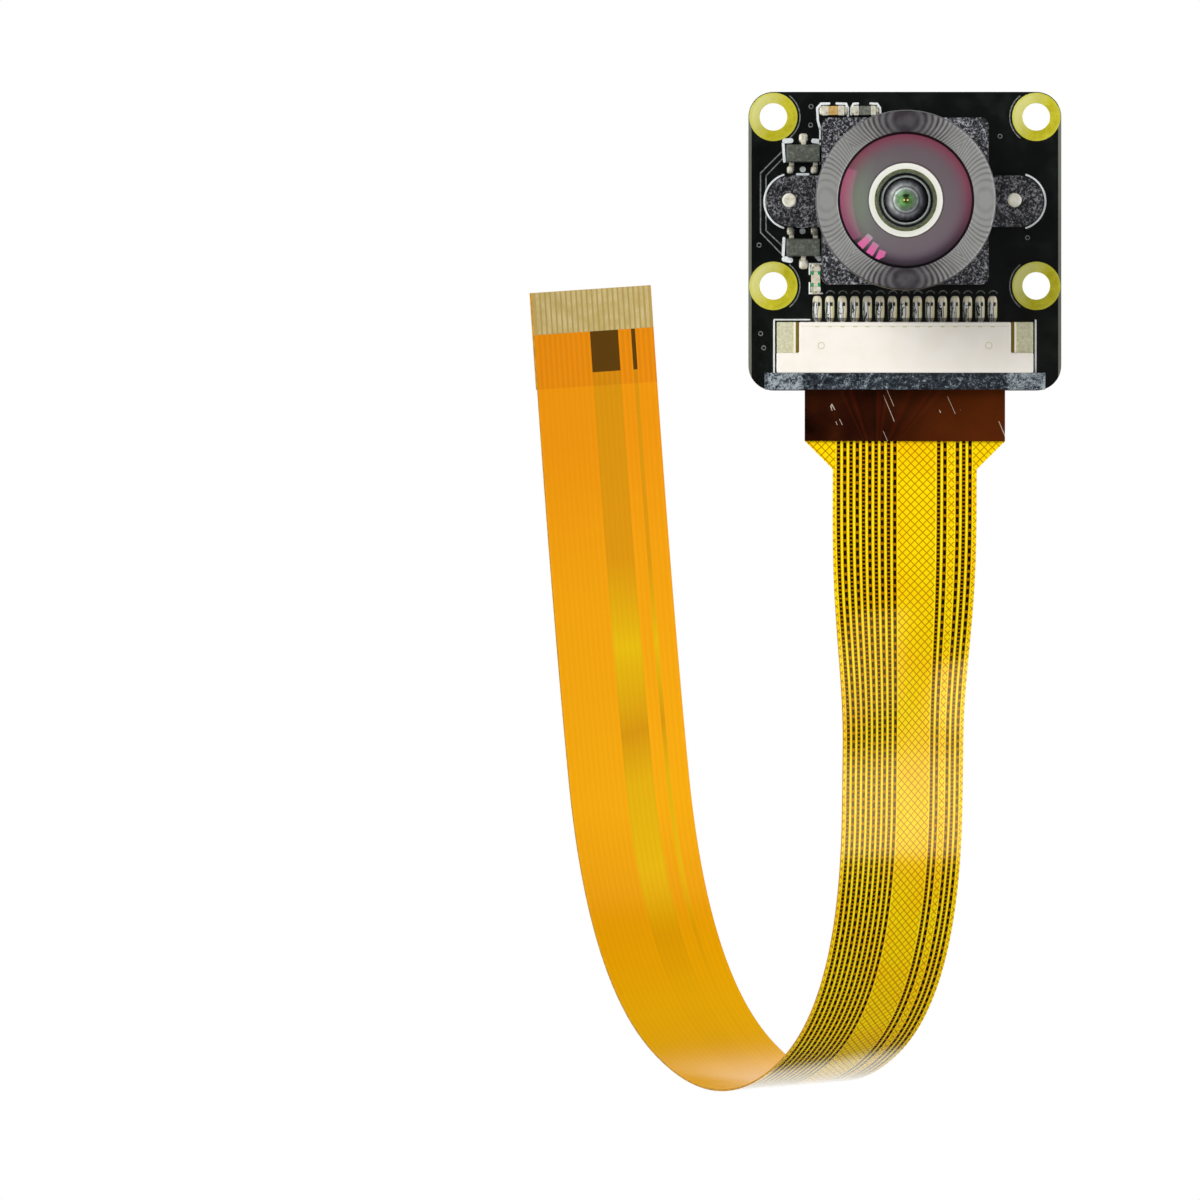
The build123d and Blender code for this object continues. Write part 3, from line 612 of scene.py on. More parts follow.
mask, add = material("black_solder_mask_on_laminate")
place = add("TexCoord", out="Object")
cloud = add("TexNoise", {"Vector": place, "Scale": 700.0, "Detail": 5.0})
tone = add("ValToRGB", {0: cloud}, stops=[(0.3, "030605"), (0.52, "080d0b"), (0.75, "161d19")])
copper_edge = 12.25
border = add("Math", {0: off_centre(add, 0), 1: copper_edge}, operation="GREATER_THAN")
tone = add("Mix", {0: border, 6: tone, 7: "74786c"})
weave = add("TexNoise", {"Vector": place, "Scale": 2500.0, "Detail": 2.0})
bump = add("Bump", {"Height": weave, "Strength": 0.25, "Distance": 0.00001})
surface(add, {"Base Color": tone, "Roughness": 0.42, "Normal": bump,
               "Coat Weight": 0.1, "Coat Roughness": 0.3})
dress("circuit_board", mask, 0.06)

# %% [markdown]
# The four holes are lined and ringed with copper that carries a thin skin of gold. Laid on by
# dipping, it is slightly matt and greenish yellow. A brighter line runs round the rim, and each
# ring has a painted highlight on its upper left side, towards the key lamp.

# %% Gold rings
rings, add = material("immersion_gold_on_copper")
place = add("TexCoord", out="Object")
cloud = add("TexNoise", {"Vector": place, "Scale": 1400.0, "Detail": 5.0, "Roughness": 0.7})
tone = add("ValToRGB", {0: cloud}, stops=[(0.35, "d2c81e"), (0.5, "e0d62c"), (0.65, "ece43e")])
hole_x, hole_z = 10.5, 6.75
sides = add("VectorMath", {0: place}, operation="SIGN")
centre = add("VectorMath", {0: sides, 1: (hole_x * MM, 0, hole_z * MM)}, operation="MULTIPLY")
around = add("VectorMath", {0: place, 1: centre}, operation="SUBTRACT")
around = add("VectorMath", {0: around, 1: (1 / MM, 0, 1 / MM)}, operation="MULTIPLY")
radius = add("VectorMath", {0: around}, 1, operation="LENGTH")
# Painted highlight: each ring is paler on its side towards the key lamp, the upper left.
towards = add("VectorMath", {0: around, 1: (-0.8, 0, 0.45)}, 1, operation="DOT_PRODUCT")
painted_ring_highlight = add("MapRange", {0: towards, 1: -0.3, 2: 1.5, 3: 0.0, 4: 1.0})
tone = add("Mix", {0: painted_ring_highlight, 6: tone, 7: "fffda0"})
rim = add("MapRange", {0: radius, 1: 1.68, 2: 1.86, 3: 0.0, 4: 0.6})
tone = add("Mix", {0: rim, 6: tone, 7: "ece84a"})
wear = add("MapRange", {0: cloud, 3: 0.3, 4: 0.5})
bump = add("Bump", {"Height": cloud, "Strength": 0.3, "Distance": 0.00002})
surface(add, {"Base Color": tone, "Roughness": wear, "Metallic": 0.3, "Normal": bump})
dress("hole_pads", rings, 0.03)

# %% [markdown]
# White epoxy ink marks the places of the parts. It is printed through a screen, a few hundredths
# of a millimetre thick, with round ends. A mark is a thin solid laid along its middle line. The
# copper under the mask shows the same way, as faint raised edges.

# %% Printed lines
def stroke(line, width, low=0.0, high=0.025):
    """Points and faces of a flat mark along (x, z) points on the board, with rounded ends."""
    line = [Vector(point) for point in line]
    left, right = [], []
    for number, point in enumerate(line):
        before = (point - line[number - 1]).normalized() if number else None
        after = (line[number + 1] - point).normalized() if number < len(line) - 1 else None
        way = ((before or after) + (after or before)).normalized()
        stretch = 1 / max(0.5, way.dot(after or before))
        out = Vector((-way.y, way.x)) * (width / 2 * stretch)
        left.append(point + out)
        right.append(point - out)
    first, last = (line[0] - line[1]).normalized(), (line[-1] - line[-2]).normalized()
    caps = []
    for centre, way in ((line[-1], last), (line[0], first)):
        out = Vector((way.y, -way.x))
        turns = [math.pi * step / 8 for step in range(1, 8)]
        caps.append([centre + (way * math.sin(turn) - out * math.cos(turn)) * (width / 2) for turn in turns])
    rim = left + caps[0] + right[::-1] + caps[1]
    count = len(rim)
    points = [(spot.x, board_y - lift, spot.y) for lift in (low, high) for spot in rim]
    faces = [list(range(count, 2 * count)), list(range(count))[::-1]]
    faces += [(n, (n + 1) % count, count + (n + 1) % count, count + n) for n in range(count)]
    return points, faces


def arc(x, z, radius, start, end, steps=28):
    """Points on an arc round (x, z), between two angles in degrees."""
    turns = [math.radians(start + (end - start) * step / steps) for step in range(steps + 1)]
    return [(x + radius * math.cos(turn), z + radius * math.sin(turn)) for turn in turns]


def joined(parts):
    """One list of points and faces from several."""
    points, faces = [], []
    for some_points, some_faces in parts:
        faces += [[number + len(points) for number in face] for face in some_faces]
        points += some_points
    return points, faces


ink = grained("white_screen_printed_ink", [(0.35, "dfe8ea"), (0.6, "f7fafa")], 0.12, (0.5, 0.65), 0.01)
lug_x, lug_mark, base = 9.0, 2.23, 6.78
marks = [
    stroke(arc(-lug_x, 0, lug_mark, 108, 252), 0.15),
    stroke(arc(lug_x, 0, lug_mark, -72, 72), 0.15),
    stroke([(-base, 5.85), (-base, 3.0)], 0.12),
    stroke([(-base, 5.85), (-6.95, 6.45), (-7.0, 7.45), (-6.7, 7.8), (-6.05, 7.82)], 0.19),
    stroke([(-5.45, 7.82), (-4.7, 7.8), (-4.55, 7.45), (-4.55, 6.85)], 0.19),
    stroke([(-4.28, 6.95), (-4.28, 7.5), (-4.1, 7.8), (-3.75, 7.82)], 0.17),
    stroke([(-2.75, 7.82), (-2.2, 7.8), (-1.98, 7.45), (-1.95, 6.95)], 0.17),
    stroke([(-9.62, 3.2), (-9.72, 4.6)], 0.22),
    stroke([(-9.6, 4.83), (-9.1, 4.85)], 0.4),
    stroke([(-7.3, 4.83), (-6.9, 4.8)], 0.38),
    stroke([(-8.6, 2.16), (-7.72, 2.16)], 0.2),
    stroke([(-8.6, -1.99), (-7.75, -1.99)], 0.2),
    stroke([(-8.17, 2.56), (-8.14, 2.56)], 0.46),
    stroke([(-8.19, -2.38), (-8.16, -2.38)], 0.46),
    stroke([(-9.66, -2.95), (-9.72, -4.3)], 0.24),
    stroke([(-9.62, -4.6), (-9.15, -4.7)], 0.44),
    stroke([(-7.05, -4.35), (-6.85, -4.6)], 0.36),
    stroke([(-base, -3.0), (-base, -4.4)], 0.12),
    stroke([(-7.62, -5.8), (-7.62, -5.0), (-6.6, -5.0), (-6.5, -5.6)], 0.14),
    stroke([(-7.62, -6.5), (-7.62, -7.35), (-6.6, -7.35)], 0.12),
    stroke([(-6.62, -6.1), (-6.3, -6.45), (-5.95, -6.58)], 0.16),
    stroke([(-10.45, -9.5), (-10.45, -14.2)], 0.14),
    stroke([(-10.45, -9.45), (-7.6, -9.45)], 0.12),
    stroke([(10.45, -9.5), (10.45, -14.2)], 0.14),
]
piece("printed_marks", *joined(marks), "camera_board", ink, "board_laminate")

traced = grained("solder_mask_over_trace", [(0.35, "555c58"), (0.6, "8b908c")], 0.2, (0.35, 0.5), 0.01)
trace_height = 0.018
traces = [
    stroke([(-9.65, 4.15), (-11.53, 2.26), (-11.53, -2.48), (-9.9, -4.16)], 0.1, 0, trace_height),
    stroke([(-9.8, 3.38), (-11.09, 2.05), (-11.09, -2.33), (-9.8, -3.55)], 0.1, 0, trace_height),
]
for sign in (-1, 1):
    start = -52 if sign < 0 else 128
    for z in (hole_z, -hole_z):
        traces.append(stroke(arc(sign * hole_x, z, 2.12, start, start + 104), 0.09, 0, trace_height))
vias = [
    (-7.49, 7.58), (-7.53, 6.1), (-11.65, -3.49), (-11.52, -10.56), (-11.27, -11.7), (7.6, 5.2), (9.8, -2.9),
]
for x, z in vias:
    traces.append(stroke(arc(x, z, 0.16, 0, 340, 14), 0.07, 0, trace_height))
piece("mask_over_traces", *joined(traces), "camera_board", traced, "board_laminate")
print("marks:", len(marks), "traces:", len(traces))

# %% [markdown]
# The lens is turned work. Its pieces are drawn again with 128 sides from half sections, a list of
# (radius, height over the board) points in millimetres, because the CAD solids have fewer sides
# than a close look needs. They keep the CAD sizes.

# %% Turned pieces
def turned(profile, closed=True, segments=128):
    """Points and faces of a shape turned about the lens axis, and the profile run of each face."""
    points, faces, runs, rings = [], [], [], []
    for radius, height in profile:
        count = segments if radius > 0 else 1
        rings.append((len(points), count))
        for number in range(count):
            turn = 2 * math.pi * number / segments
            points.append((radius * math.cos(turn), board_y - height, radius * math.sin(turn)))
    ends = rings[1:] + rings[:1] if closed else rings[1:]
    for run, ((start, count), (end, end_count)) in enumerate(zip(rings, ends)):
        for number in range(segments):
            other = (number + 1) % segments
            face = [start + number % count, start + other % count]
            face += [end + other % end_count, end + number % end_count]
            face = list(dict.fromkeys(face))
            if len(face) > 2:
                faces.append(face)
                runs.append(run)
    return points, faces, runs


def cap(radius, rise, apex, steps):
    """(radius, height) points down a spherical cap, from its apex to its edge."""
    curvature = (radius**2 + rise**2) / (2 * rise)
    turns = [math.asin(radius / curvature) * step / steps for step in range(steps + 1)]
    return [(curvature * math.sin(turn), apex - curvature * (1 - math.cos(turn))) for turn in turns]


head_bottom, neck_bottom, shelf, cap_top, dome_top = 9.6, 12.6, 14.8, 15.32, 16.7
head_radius, neck_radius, thread_radius, small_radius = 7.175, 6.4, 5.97, 3.12
dome_radius, dome_rise = 5.24, 1.9
print("front of the dome at y =", round(board_y - dome_top, 2), "mm")

# %% [markdown]
# Barrel and cap ring are aluminium, cut on a lathe and anodised black. The tool leaves fine round
# grooves, so a highlight spreads into fans that point at the axis. That is what the anisotropic
# setting does, with its tangent round the lens axis. The grooves of the cap's face are drawn
# 0.25 mm apart. The real ones are about 0.08 mm apart, too fine to show, and in a picture they
# leave soft bands where they run nearly level or upright, so the colour carries such bands as
# painted reflections. The colour also carries a painted highlight: it is lighter where the grooves
# run upright, at the left and right of the lens, where the side lamps light them, and darker at
# the top and bottom.

# %% Black anodised aluminium
def from_axis(add, scale=1.0):
    """The way from the lens axis to a point, in millimetres times a scale, and its length."""
    place = add("TexCoord", out="Object")
    flat = add("VectorMath", {0: place, 1: (scale / MM, 0, scale / MM)}, operation="MULTIPLY")
    return flat, add("VectorMath", {0: flat}, 1, operation="LENGTH")


def anodised(name, dark, bright, bands):
    """Turned and anodised aluminium, with a painted highlight where its grooves run upright and soft bands of
    painted reflection.
    """
    made, add = material(name)
    place = add("TexCoord", out="Object")
    radius = from_axis(add)[1]
    sideways, upward = off_centre(add, 0), off_centre(add, 2)
    larger = add("Math", {0: sideways, 1: upward}, operation="MAXIMUM")
    gap = add("Math", {0: radius, 1: larger}, operation="SUBTRACT")
    slower = add("Math", {0: gap, 1: 0.3, 2: 1.0}, operation="MULTIPLY_ADD")
    turns = add("Math", {0: gap, 1: slower}, operation="DIVIDE")
    turns = add("Math", {0: turns, 1: 0.125}, operation="DIVIDE")
    inward = add("Math", {0: larger, 1: 6.3}, operation="SUBTRACT")
    inward = add("Math", {0: inward, 1: inward}, operation="MULTIPLY")
    turns = add("Math", {0: inward, 1: 0.9, 2: turns}, operation="MULTIPLY_ADD")
    phase = add("Math", {0: turns, 1: 2 * math.pi}, operation="MULTIPLY")
    wave = add("Math", {0: phase}, operation="COSINE")
    fade = add("ValToRGB", {0: gap}, stops=[
        (0.0, "7c7c7c"), (0.12, "a4a4a4"), (0.35, "dadada"),
        (0.5, "ffffff"), (0.9, "ffffff"), (1.0, "c8c8c8"),
    ])
    share = add("Math", {0: sideways, 1: radius}, operation="DIVIDE")
    weaker = add("MapRange", {0: share, 3: 0.45, 4: 1.0})
    fade = add("Math", {0: fade, 1: weaker}, operation="MULTIPLY")
    fade = add("Math", {0: fade, 1: bands}, operation="MULTIPLY")
    wave = add("Math", {0: wave, 1: fade}, operation="MULTIPLY")
    # Painted highlight: lighter at the left and right of the lens, darker at the top and bottom.
    tone = add("MapRange", {0: share, 3: 0.08, 4: 0.93}, interpolation_type="SMOOTHSTEP")
    grain = add("TexNoise", {"Vector": place, "Scale": 1500.0, "Detail": 3.0})
    grain = add("MapRange", {0: grain, 3: -0.12, 4: 0.12})
    tone = add("Math", {0: tone, 1: grain}, operation="ADD")
    tone = add("Math", {0: tone, 1: wave}, operation="ADD")
    colour = add("ValToRGB", {0: tone}, stops=[(0.05, dark), (0.95, bright)])
    round_axis = add("Tangent", direction_type="RADIAL", axis="Y")
    surface(add, {"Base Color": colour, "Metallic": 0.7, "Roughness": 0.42,
                   "Anisotropic": 0.7, "Tangent": round_axis})
    return made


ring_metal = anodised("black_anodised_aluminium_face", "544e55", "e6e6e3", 0.42)
barrel_metal = anodised("black_anodised_aluminium_barrel", "2e2c30", "4c4a50", 0.0)
blackened = grained("matt_black_anodised_recess", [(0.3, "020202"), (0.7, "0a090a")], 0.1, (0.5, 0.7), 0.01)

groove_pitch, groove_depth = 0.25, 0.025
face_inner, face_outer = 5.5, 6.95
groove_count = int((face_outer - face_inner) / groove_pitch)
cap_profile = [(head_radius, neck_bottom + 0.08), (head_radius, cap_top - 0.2)]
cap_profile += [(head_radius - 0.08, cap_top - 0.05)]
for number in range(groove_count):
    edge = face_outer - number * groove_pitch
    cap_profile += [(edge, cap_top), (edge - groove_pitch * 0.5, cap_top - groove_depth)]
cap_profile += [(face_inner, cap_top), (5.44, cap_top - 0.03), (5.27, 14.9), (5.27, shelf + 0.02)]
cap_profile += [(neck_radius + 0.02, shelf + 0.02), (neck_radius + 0.02, neck_bottom)]
cap_profile += [(head_radius - 0.08, neck_bottom)]
points, faces, runs = turned(cap_profile)
recess = len(cap_profile) - 7
kinds = [1 if recess < run < recess + 4 else 2 if run < 2 or run >= recess + 4 else 0 for run in runs]
cap_ring = piece("lens_cap_ring", points, faces, "lens", [ring_metal, blackened, barrel_metal],
                 "anodised_aluminium", ["front_cap"], 35, kinds)
print("cap ring:", len(faces), "faces,", groove_count, "grooves")

# %% [markdown]
# The barrel has a metric fine thread, M12 with a pitch of 0.5 mm, that screws into the holder. It
# is a ridge with a triangular section wound round a plain cylinder, as a real thread is.

# %% Lens barrel with its thread
barrel_bottom, spacer_bottom, second_bottom, thread_pitch = 4.2, 11.4, 9.0, 0.5
thread_depth = 0.31
root_radius = thread_radius - thread_depth
barrel_profile = [
    (small_radius, barrel_bottom), (root_radius - 0.2, barrel_bottom), (root_radius, barrel_bottom + 0.2),
    (root_radius, head_bottom - 0.05), (head_radius - 0.15, head_bottom), (head_radius, head_bottom + 0.15),
    (head_radius, neck_bottom - 0.12), (head_radius - 0.12, neck_bottom), (neck_radius, neck_bottom),
    (neck_radius, shelf), (5.62, shelf), (5.62, spacer_bottom), (4.02, spacer_bottom),
    (4.02, second_bottom), (small_radius, second_bottom),
]
points, faces, runs = turned(barrel_profile, segments=96)
start = len(points)
steps = round((head_bottom - barrel_bottom - 0.75) / thread_pitch * 96)
for step in range(steps + 1):
    turn = 2 * math.pi * step / 96
    height = barrel_bottom + 0.25 + thread_pitch * step / 96
    grow = min(1, step / 24, (steps - step) / 24)
    ridge = [(root_radius - 0.02, 0.0), (root_radius + thread_depth * grow, 0.23), (root_radius - 0.02, 0.46)]
    for radius, rise in ridge:
        points.append((radius * math.cos(turn), board_y - height - rise, radius * math.sin(turn)))
for step in range(steps):
    low = start + 3 * step
    for corner in range(3):
        other = (corner + 1) % 3
        faces.append((low + corner, low + other, low + 3 + other, low + 3 + corner))
faces += [(start, start + 1, start + 2), (start + 3 * steps, start + 3 * steps + 1, start + 3 * steps + 2)]
piece("threaded_barrel", points, faces, "lens", barrel_metal, "anodised_aluminium", ["lens_barrel"], 35)
print("thread turns:", round(steps / 96, 1))

# %% [markdown]
# The front lens is a strongly curved glass with a deep bowl behind. Its rear ring is painted dark
# so that no light strays, and a bevel ground matt round the bowl shows as a cream ring, with a dark
# line round it. The steps of the barrel behind show as dark rings. On the floor of the bowl the eye
# sees the small lenses behind: a pale ring, and in the middle the small opening with the green and
# red tints of their coatings. Those rings are colours that depend on the distance from the axis, and
# the brightest of them are painted reflections of the glasses behind. Over them the colour carries
# painted light: lighter at the upper left and darker at the lower right, a painted shadow just above
# the middle and two painted glints either side of it. The coating is clear in the middle and turns
# magenta towards the edge, where light meets it at a slant, most of all at the top, and it darkens
# at the bottom. That magenta and that darkening are painted reflection, fixed on the glass, and so
# is the greener left side of the glass and of the paint behind it. Over the bowl the dome is nearly
# clear. Over the paint it is opaque and carries the colours of paint and coating together, because
# that sum is all that the eye gets, and so its reflections come out clean. The whole dome lets the
# lamps' light through. The paint is drawn 0.9 mm nearer than it is, where the glass makes it appear.

# %% Front lens
coated, add = material("magenta_coated_glass_and_painted_reflection")
radius = from_axis(add)[1]
edge = add("MapRange", {0: radius, 1: 3.0, 2: dome_radius})
# Painted reflection: magenta towards the upper edge, dark towards the lower edge.
upper = add("MapRange", {0: millimetres(add, 2), 1: -4.5, 2: 2.0}, interpolation_type="SMOOTHSTEP")
top_with_painted_reflection = add("ValToRGB", {0: edge}, stops=[(0.0, "6c6468"), (0.5, "6c545e"), (1.0, "8c4259")])
low_with_painted_reflection = add("ValToRGB", {0: edge}, stops=[
    (0.0, "6c6468"), (0.55, "625460"), (0.85, "362c38"), (1.0, "2c242e"),
])
film = add("Mix", {0: upper, 6: low_with_painted_reflection, 7: top_with_painted_reflection})
# Painted reflection: the glass is greener towards the left side.
painted_reflection_side = add("MapRange", {0: millimetres(add, 0), 1: -5.2, 2: 0.0})
behind = add("ValToRGB", {0: painted_reflection_side}, stops=[(0.1, "74866f"), (0.55, "646062"), (1.0, "62595d")])
share = add("MapRange", {0: edge, 1: 0.1, 3: 0.02, 4: 0.85}, interpolation_type="SMOOTHSTEP")
film = add("Mix", {0: share, 6: behind, 7: film})
groove = add("MapRange", {0: radius, 1: 2.99, 2: 3.09, 3: 0.65, 4: 0.0})
film = add("Mix", {0: groove, 6: film, 7: "18161a"})
cover = add("MapRange", {0: radius, 1: 2.95, 2: 3.02, 3: 0.02, 4: 1.0})
tint = add("ValToRGB", {0: edge}, stops=[
    (0.1, "241f22"), (0.48, "947d8a"), (0.64, "c53885"), (1.0, "ed46a2"),
])
surface(add, {"Base Color": film, "Alpha": cover, "Roughness": 0.04, "IOR": 1.8, "Specular Tint": tint})

paint, add = material("dark_paint_on_ground_glass")
unit = add("VectorMath", {0: from_axis(add)[0]}, operation="NORMALIZE")
streaks = add("TexNoise", {"Vector": unit, "Scale": 14.0, "Detail": 5.0})
# Painted reflection: the paint is greener towards the left side.
painted_reflection_side = add("MapRange", {0: millimetres(add, 0), 1: -5.2, 2: 0.0})
tone = add("ValToRGB", {0: painted_reflection_side}, stops=[(0.1, "80927f"), (0.55, "787478"), (1.0, "776c71")])
streak = add("ValToRGB", {0: streaks}, stops=[(0.3, "eee9ec"), (0.7, "ffffff")])
tone = add("Mix", {0: 1.0, 6: tone, 7: streak}, blend_type="MULTIPLY")
surface(add, {"Base Color": tone, "Roughness": 0.55})

ground = grained("ground_glass_bevel", [(0.3, "fdfeec"), (0.7, "fffffa")], 0.15, (0.6, 0.75), 0.01)
olive = grained("shaded_glass_bevel", [(0.3, "565c3c"), (0.7, "828a62")], 0.3, (0.5, 0.6), 0.01)
clear_glass, add = material("clear_polished_glass")
wipe = add("TexNoise", {"Vector": add("TexCoord", out="Object"), "Scale": 400.0})
gloss = add("MapRange", {0: wipe, 3: 0.02, 4: 0.06})
surface(add, {"Base Color": "20241f", "Alpha": 0.12, "Roughness": gloss, "IOR": 1.5})

inner, add = material("lens_stack_tints_and_painted_light")
place = add("TexCoord", out="Object")
flat, radius = from_axis(add, 0.5)
# The brightest rings are painted reflections of the glasses behind; the green and red are the coatings'
# tints.
rings = add("ValToRGB", {0: radius}, stops=[
    (0.0, "8a3420"), (0.05, "5a3818"), (0.09, "44782e"), (0.17, "94dc6c"),
    (0.3, "9ccc90"), (0.42, "b0c4b2"), (0.455, "ffffff"), (0.485, "ecfcee"),
    (0.52, "7e8082"), (0.6, "cccccf"), (0.72, "727276"), (0.82, "17181a"),
])
mottle = add("TexNoise", {"Vector": place, "Scale": 2600.0, "Detail": 2.0})
mottle = add("ValToRGB", {0: mottle}, stops=[(0.35, "b4b8b4"), (0.65, "ffffff")])
tone = add("Mix", {0: 0.8, 6: rings, 7: mottle}, blend_type="MULTIPLY")
eastward = add("SeparateXYZ", {0: flat}, 0)
upward = add("SeparateXYZ", {0: flat}, 2)
# Painted light: lighter towards the upper left, darker towards the lower right.
painted_light_side = add("VectorMath", {0: flat, 1: (-1.0, 0, 0.35)}, 1, operation="DOT_PRODUCT")
painted_light_side = add("MapRange", {0: painted_light_side, 1: -0.7, 2: 0.7})
painted_light_side = add("ValToRGB", {0: painted_light_side}, stops=[(0.0, "66666c"), (0.5, "a8a8ac"), (1.0, "fafffa")])
tone = add("Mix", {0: 1.0, 6: tone, 7: painted_light_side}, blend_type="MULTIPLY")
# Painted shadow: a dark spot just above the middle.
above = add("VectorMath", {0: flat, 1: (0, 0, -0.17)}, operation="ADD")
painted_shadow_lid = add("VectorMath", {0: above, 1: (0.75, 0, 1.3)}, operation="MULTIPLY")
painted_shadow_lid = add("VectorMath", {0: painted_shadow_lid}, 1, operation="LENGTH")
painted_shadow_lid = add("MapRange", {0: painted_shadow_lid, 1: 0.07, 2: 0.13, 3: 0.95, 4: 0.0})
tone = add("Mix", {0: painted_shadow_lid, 6: tone, 7: "0c1a12"})
# Painted glints: two pale spots either side of the middle.
beside = add("Math", {0: eastward}, operation="ABSOLUTE")
beside = add("Math", {0: beside, 1: 0.07}, operation="SUBTRACT")
spot = add("CombineXYZ", {0: beside, 1: upward})
spot = add("VectorMath", {0: spot}, 1, operation="LENGTH")
spot = add("MapRange", {0: spot, 1: 0.015, 2: 0.05, 3: 0.9, 4: 0.0})
tone = add("Mix", {0: spot, 6: tone, 7: "fbeea0"})
surface(add, {"Base Color": tone, "Roughness": 0.12, "Specular IOR Level": 0.4})
seen_depth = 13.5
bowl = [
    (2.94, seen_depth), (2.49, 13.75), (2.42, 13.8), (2.26, 13.95), (2.16, 14.0), (1.98, 14.08),
    (1.91, 14.1), (1.81, 14.28), (0, 14.3),
]
lens_profile = cap(dome_radius, dome_rise, dome_top, 28) + [(5.58, shelf), (5.58, seen_depth)] + bowl
points, faces, runs = turned(lens_profile, closed=False)
surfaces = {28: 5, 29: 5, 30: 1, 31: 2, 32: 3, 33: 3, 34: 7, 35: 5, 36: 7, 37: 6, 38: 4}
kinds = [surfaces.get(run, 0) for run in runs]
pale_step = grained("bright_glass_edge", [(0.3, "b4bcb8"), (0.7, "dce4de")], 0.2, (0.4, 0.5), 0.01)
dusk_step = grained("dull_glass_edge", [(0.3, "464e48"), (0.7, "747c74")], 0.2, (0.4, 0.5), 0.01)
glass_finish = [coated, paint, ground, olive, inner, blackened, pale_step, dusk_step]
front_glass = piece("front_glass", points, faces, "lens", glass_finish,
                    "coated_glass", ["front_lens"], 30, kinds)
front_glass.visible_shadow = False
print("front glass:", len(faces), "faces")

# %% [markdown]
# The second lens lies deep behind the bowl, a thick glass with a hollow face. It carries the same
# colours as the floor of the bowl: coating tints with painted reflections, light and shade.

# %% Second lens
hollow_depth = 0.8
hollow = cap(1.83, hollow_depth, spacer_bottom, 12)
hollow = [(radius, 2 * spacer_bottom - hollow_depth - height) for radius, height in hollow]
second_profile = hollow + [(4.0, spacer_bottom), (4.0, second_bottom), (0, second_bottom)]
points, faces, runs = turned(second_profile, closed=False)
piece("second_glass", points, faces, "lens", inner, "optical_glass", ["second_lens"], 40)

for name in ("third_lens", "rear_lens"):
    dress(name, clear_glass)
dress("spacer_ring", blackened)
dress("rear_ring", barrel_metal)
foil = grained("blackened_steel_foil", [(0.3, "101012"), (0.7, "1c1c1f")], 0.2, (0.4, 0.55), 0.005, 0.6)
dress("aperture_stop", foil)
print("second glass:", len(faces), "faces")

# %% [markdown]
# A lens like this gathers light from half a room, so a soft lamp in front lights the front glass
# and nothing else. Small lamps that only the glass sees give its reflections: a low sheet of
# light at the left makes the bright crescent at the edge, and three panes at the lower left are
# the window of a room. Each place follows from the dome: a point with a slant of 35 degrees
# mirrors what stands 70 degrees from the axis. The other lamps would be blots, so they leave the
# glass out, and the cap ring lets the mirrored rays pass.

# %% Reflections in the dome
glass_only = bpy.data.collections.new("front_glass_only")
glass_only.objects.link(front_glass)
all_but_glass = bpy.data.collections.new("all_but_front_glass")
all_but_glass.objects.link(front_glass)
all_but_glass.collection_objects[0].light_linking.link_state = "EXCLUDE"
for name in ("key_lamp", "fill_lamp", "left_lamp", "right_lamp"):
    bpy.data.objects[name].light_linking.receiver_collection = all_but_glass
gathered = lamp("gathered_light", (0, -600, 0), (300, 300), 2.9)
gathered.visible_glossy = False
gathered.light_linking.receiver_collection = glass_only
cap_ring.visible_glossy = False


def reflection(name, around, inner, outer, width, brightness, distance=90):
    """A lamp that only the dome mirrors, seen round the lens axis at an angle, between two radii.
    A brightness of 1 is as bright as the white of the world."""
    around = math.radians(around)
    curvature = (dome_radius**2 + dome_rise**2) / (2 * dome_rise)
    slants = [2 * math.asin(radius / curvature) for radius in (inner, outer)]
    slant = sum(slants) / 2
    side = Vector((math.cos(around), 0, math.sin(around)))
    away = side * math.sin(slant) - Vector((0, math.cos(slant), 0))
    outward = side * math.cos(slant) + Vector((0, math.sin(slant), 0))
    spot = side * (inner + outer) / 2 + Vector((0, board_y - shelf - 0.5, 0))
    size = (width, (slants[1] - slants[0]) * distance)
    made = lamp(name, spot + away * distance, size, brightness * math.pi * size[0] * size[1] * MM * MM, spot)
    made.rotation_euler = Matrix((outward.cross(away), outward, away)).transposed().to_euler()
    made.visible_diffuse = False
    made.light_linking.receiver_collection = glass_only
    return made


reflection("left_sheet", 184, 4.2, 5.4, 122, 2.1)
pane_outer, pane_width, pane_brightness = 5.14, 11.0, 9.5
for number, (around, pane_inner) in enumerate(((225.3, 3.95), (235.8, 4.16), (245.6, 4.4))):
    reflection(f"window_pane_{number + 1}", around, pane_inner, pane_outer, pane_width, pane_brightness)

# %% [markdown]
# The lens holder is injection moulded in a glass-filled black plastic. Its mould was spark eroded,
# which leaves a coarse matt grain; light catches on the grains, and these pale flecks are painted
# into the colour as painted glints. The lugs are painted darker, a painted shade.

# %% Lens holder and its screws
moulded, add = material("spark_eroded_black_moulding")
place = add("TexCoord", out="Object")
flecks = add("TexNoise", {
    "Vector": place, "Scale": 5200.0, "Detail": 3.0, "Roughness": 0.7, "Distortion": 0.6,
})
clouds = add("TexNoise", {"Vector": place, "Scale": 900.0, "Detail": 1.0})
sum_of = add("Math", {0: clouds, 1: 0.2, 2: flecks}, operation="MULTIPLY_ADD")
# Painted glints: the pale flecks of the grain.
painted_fleck_glint = add("MapRange", {0: sum_of, 1: 0.4, 2: 0.82})
tone = add("ValToRGB", {0: painted_fleck_glint}, stops=[
    (0.2, "17171a"), (0.42, "2f2f33"), (0.57, "606066"), (0.75, "b6b6bc"),
])
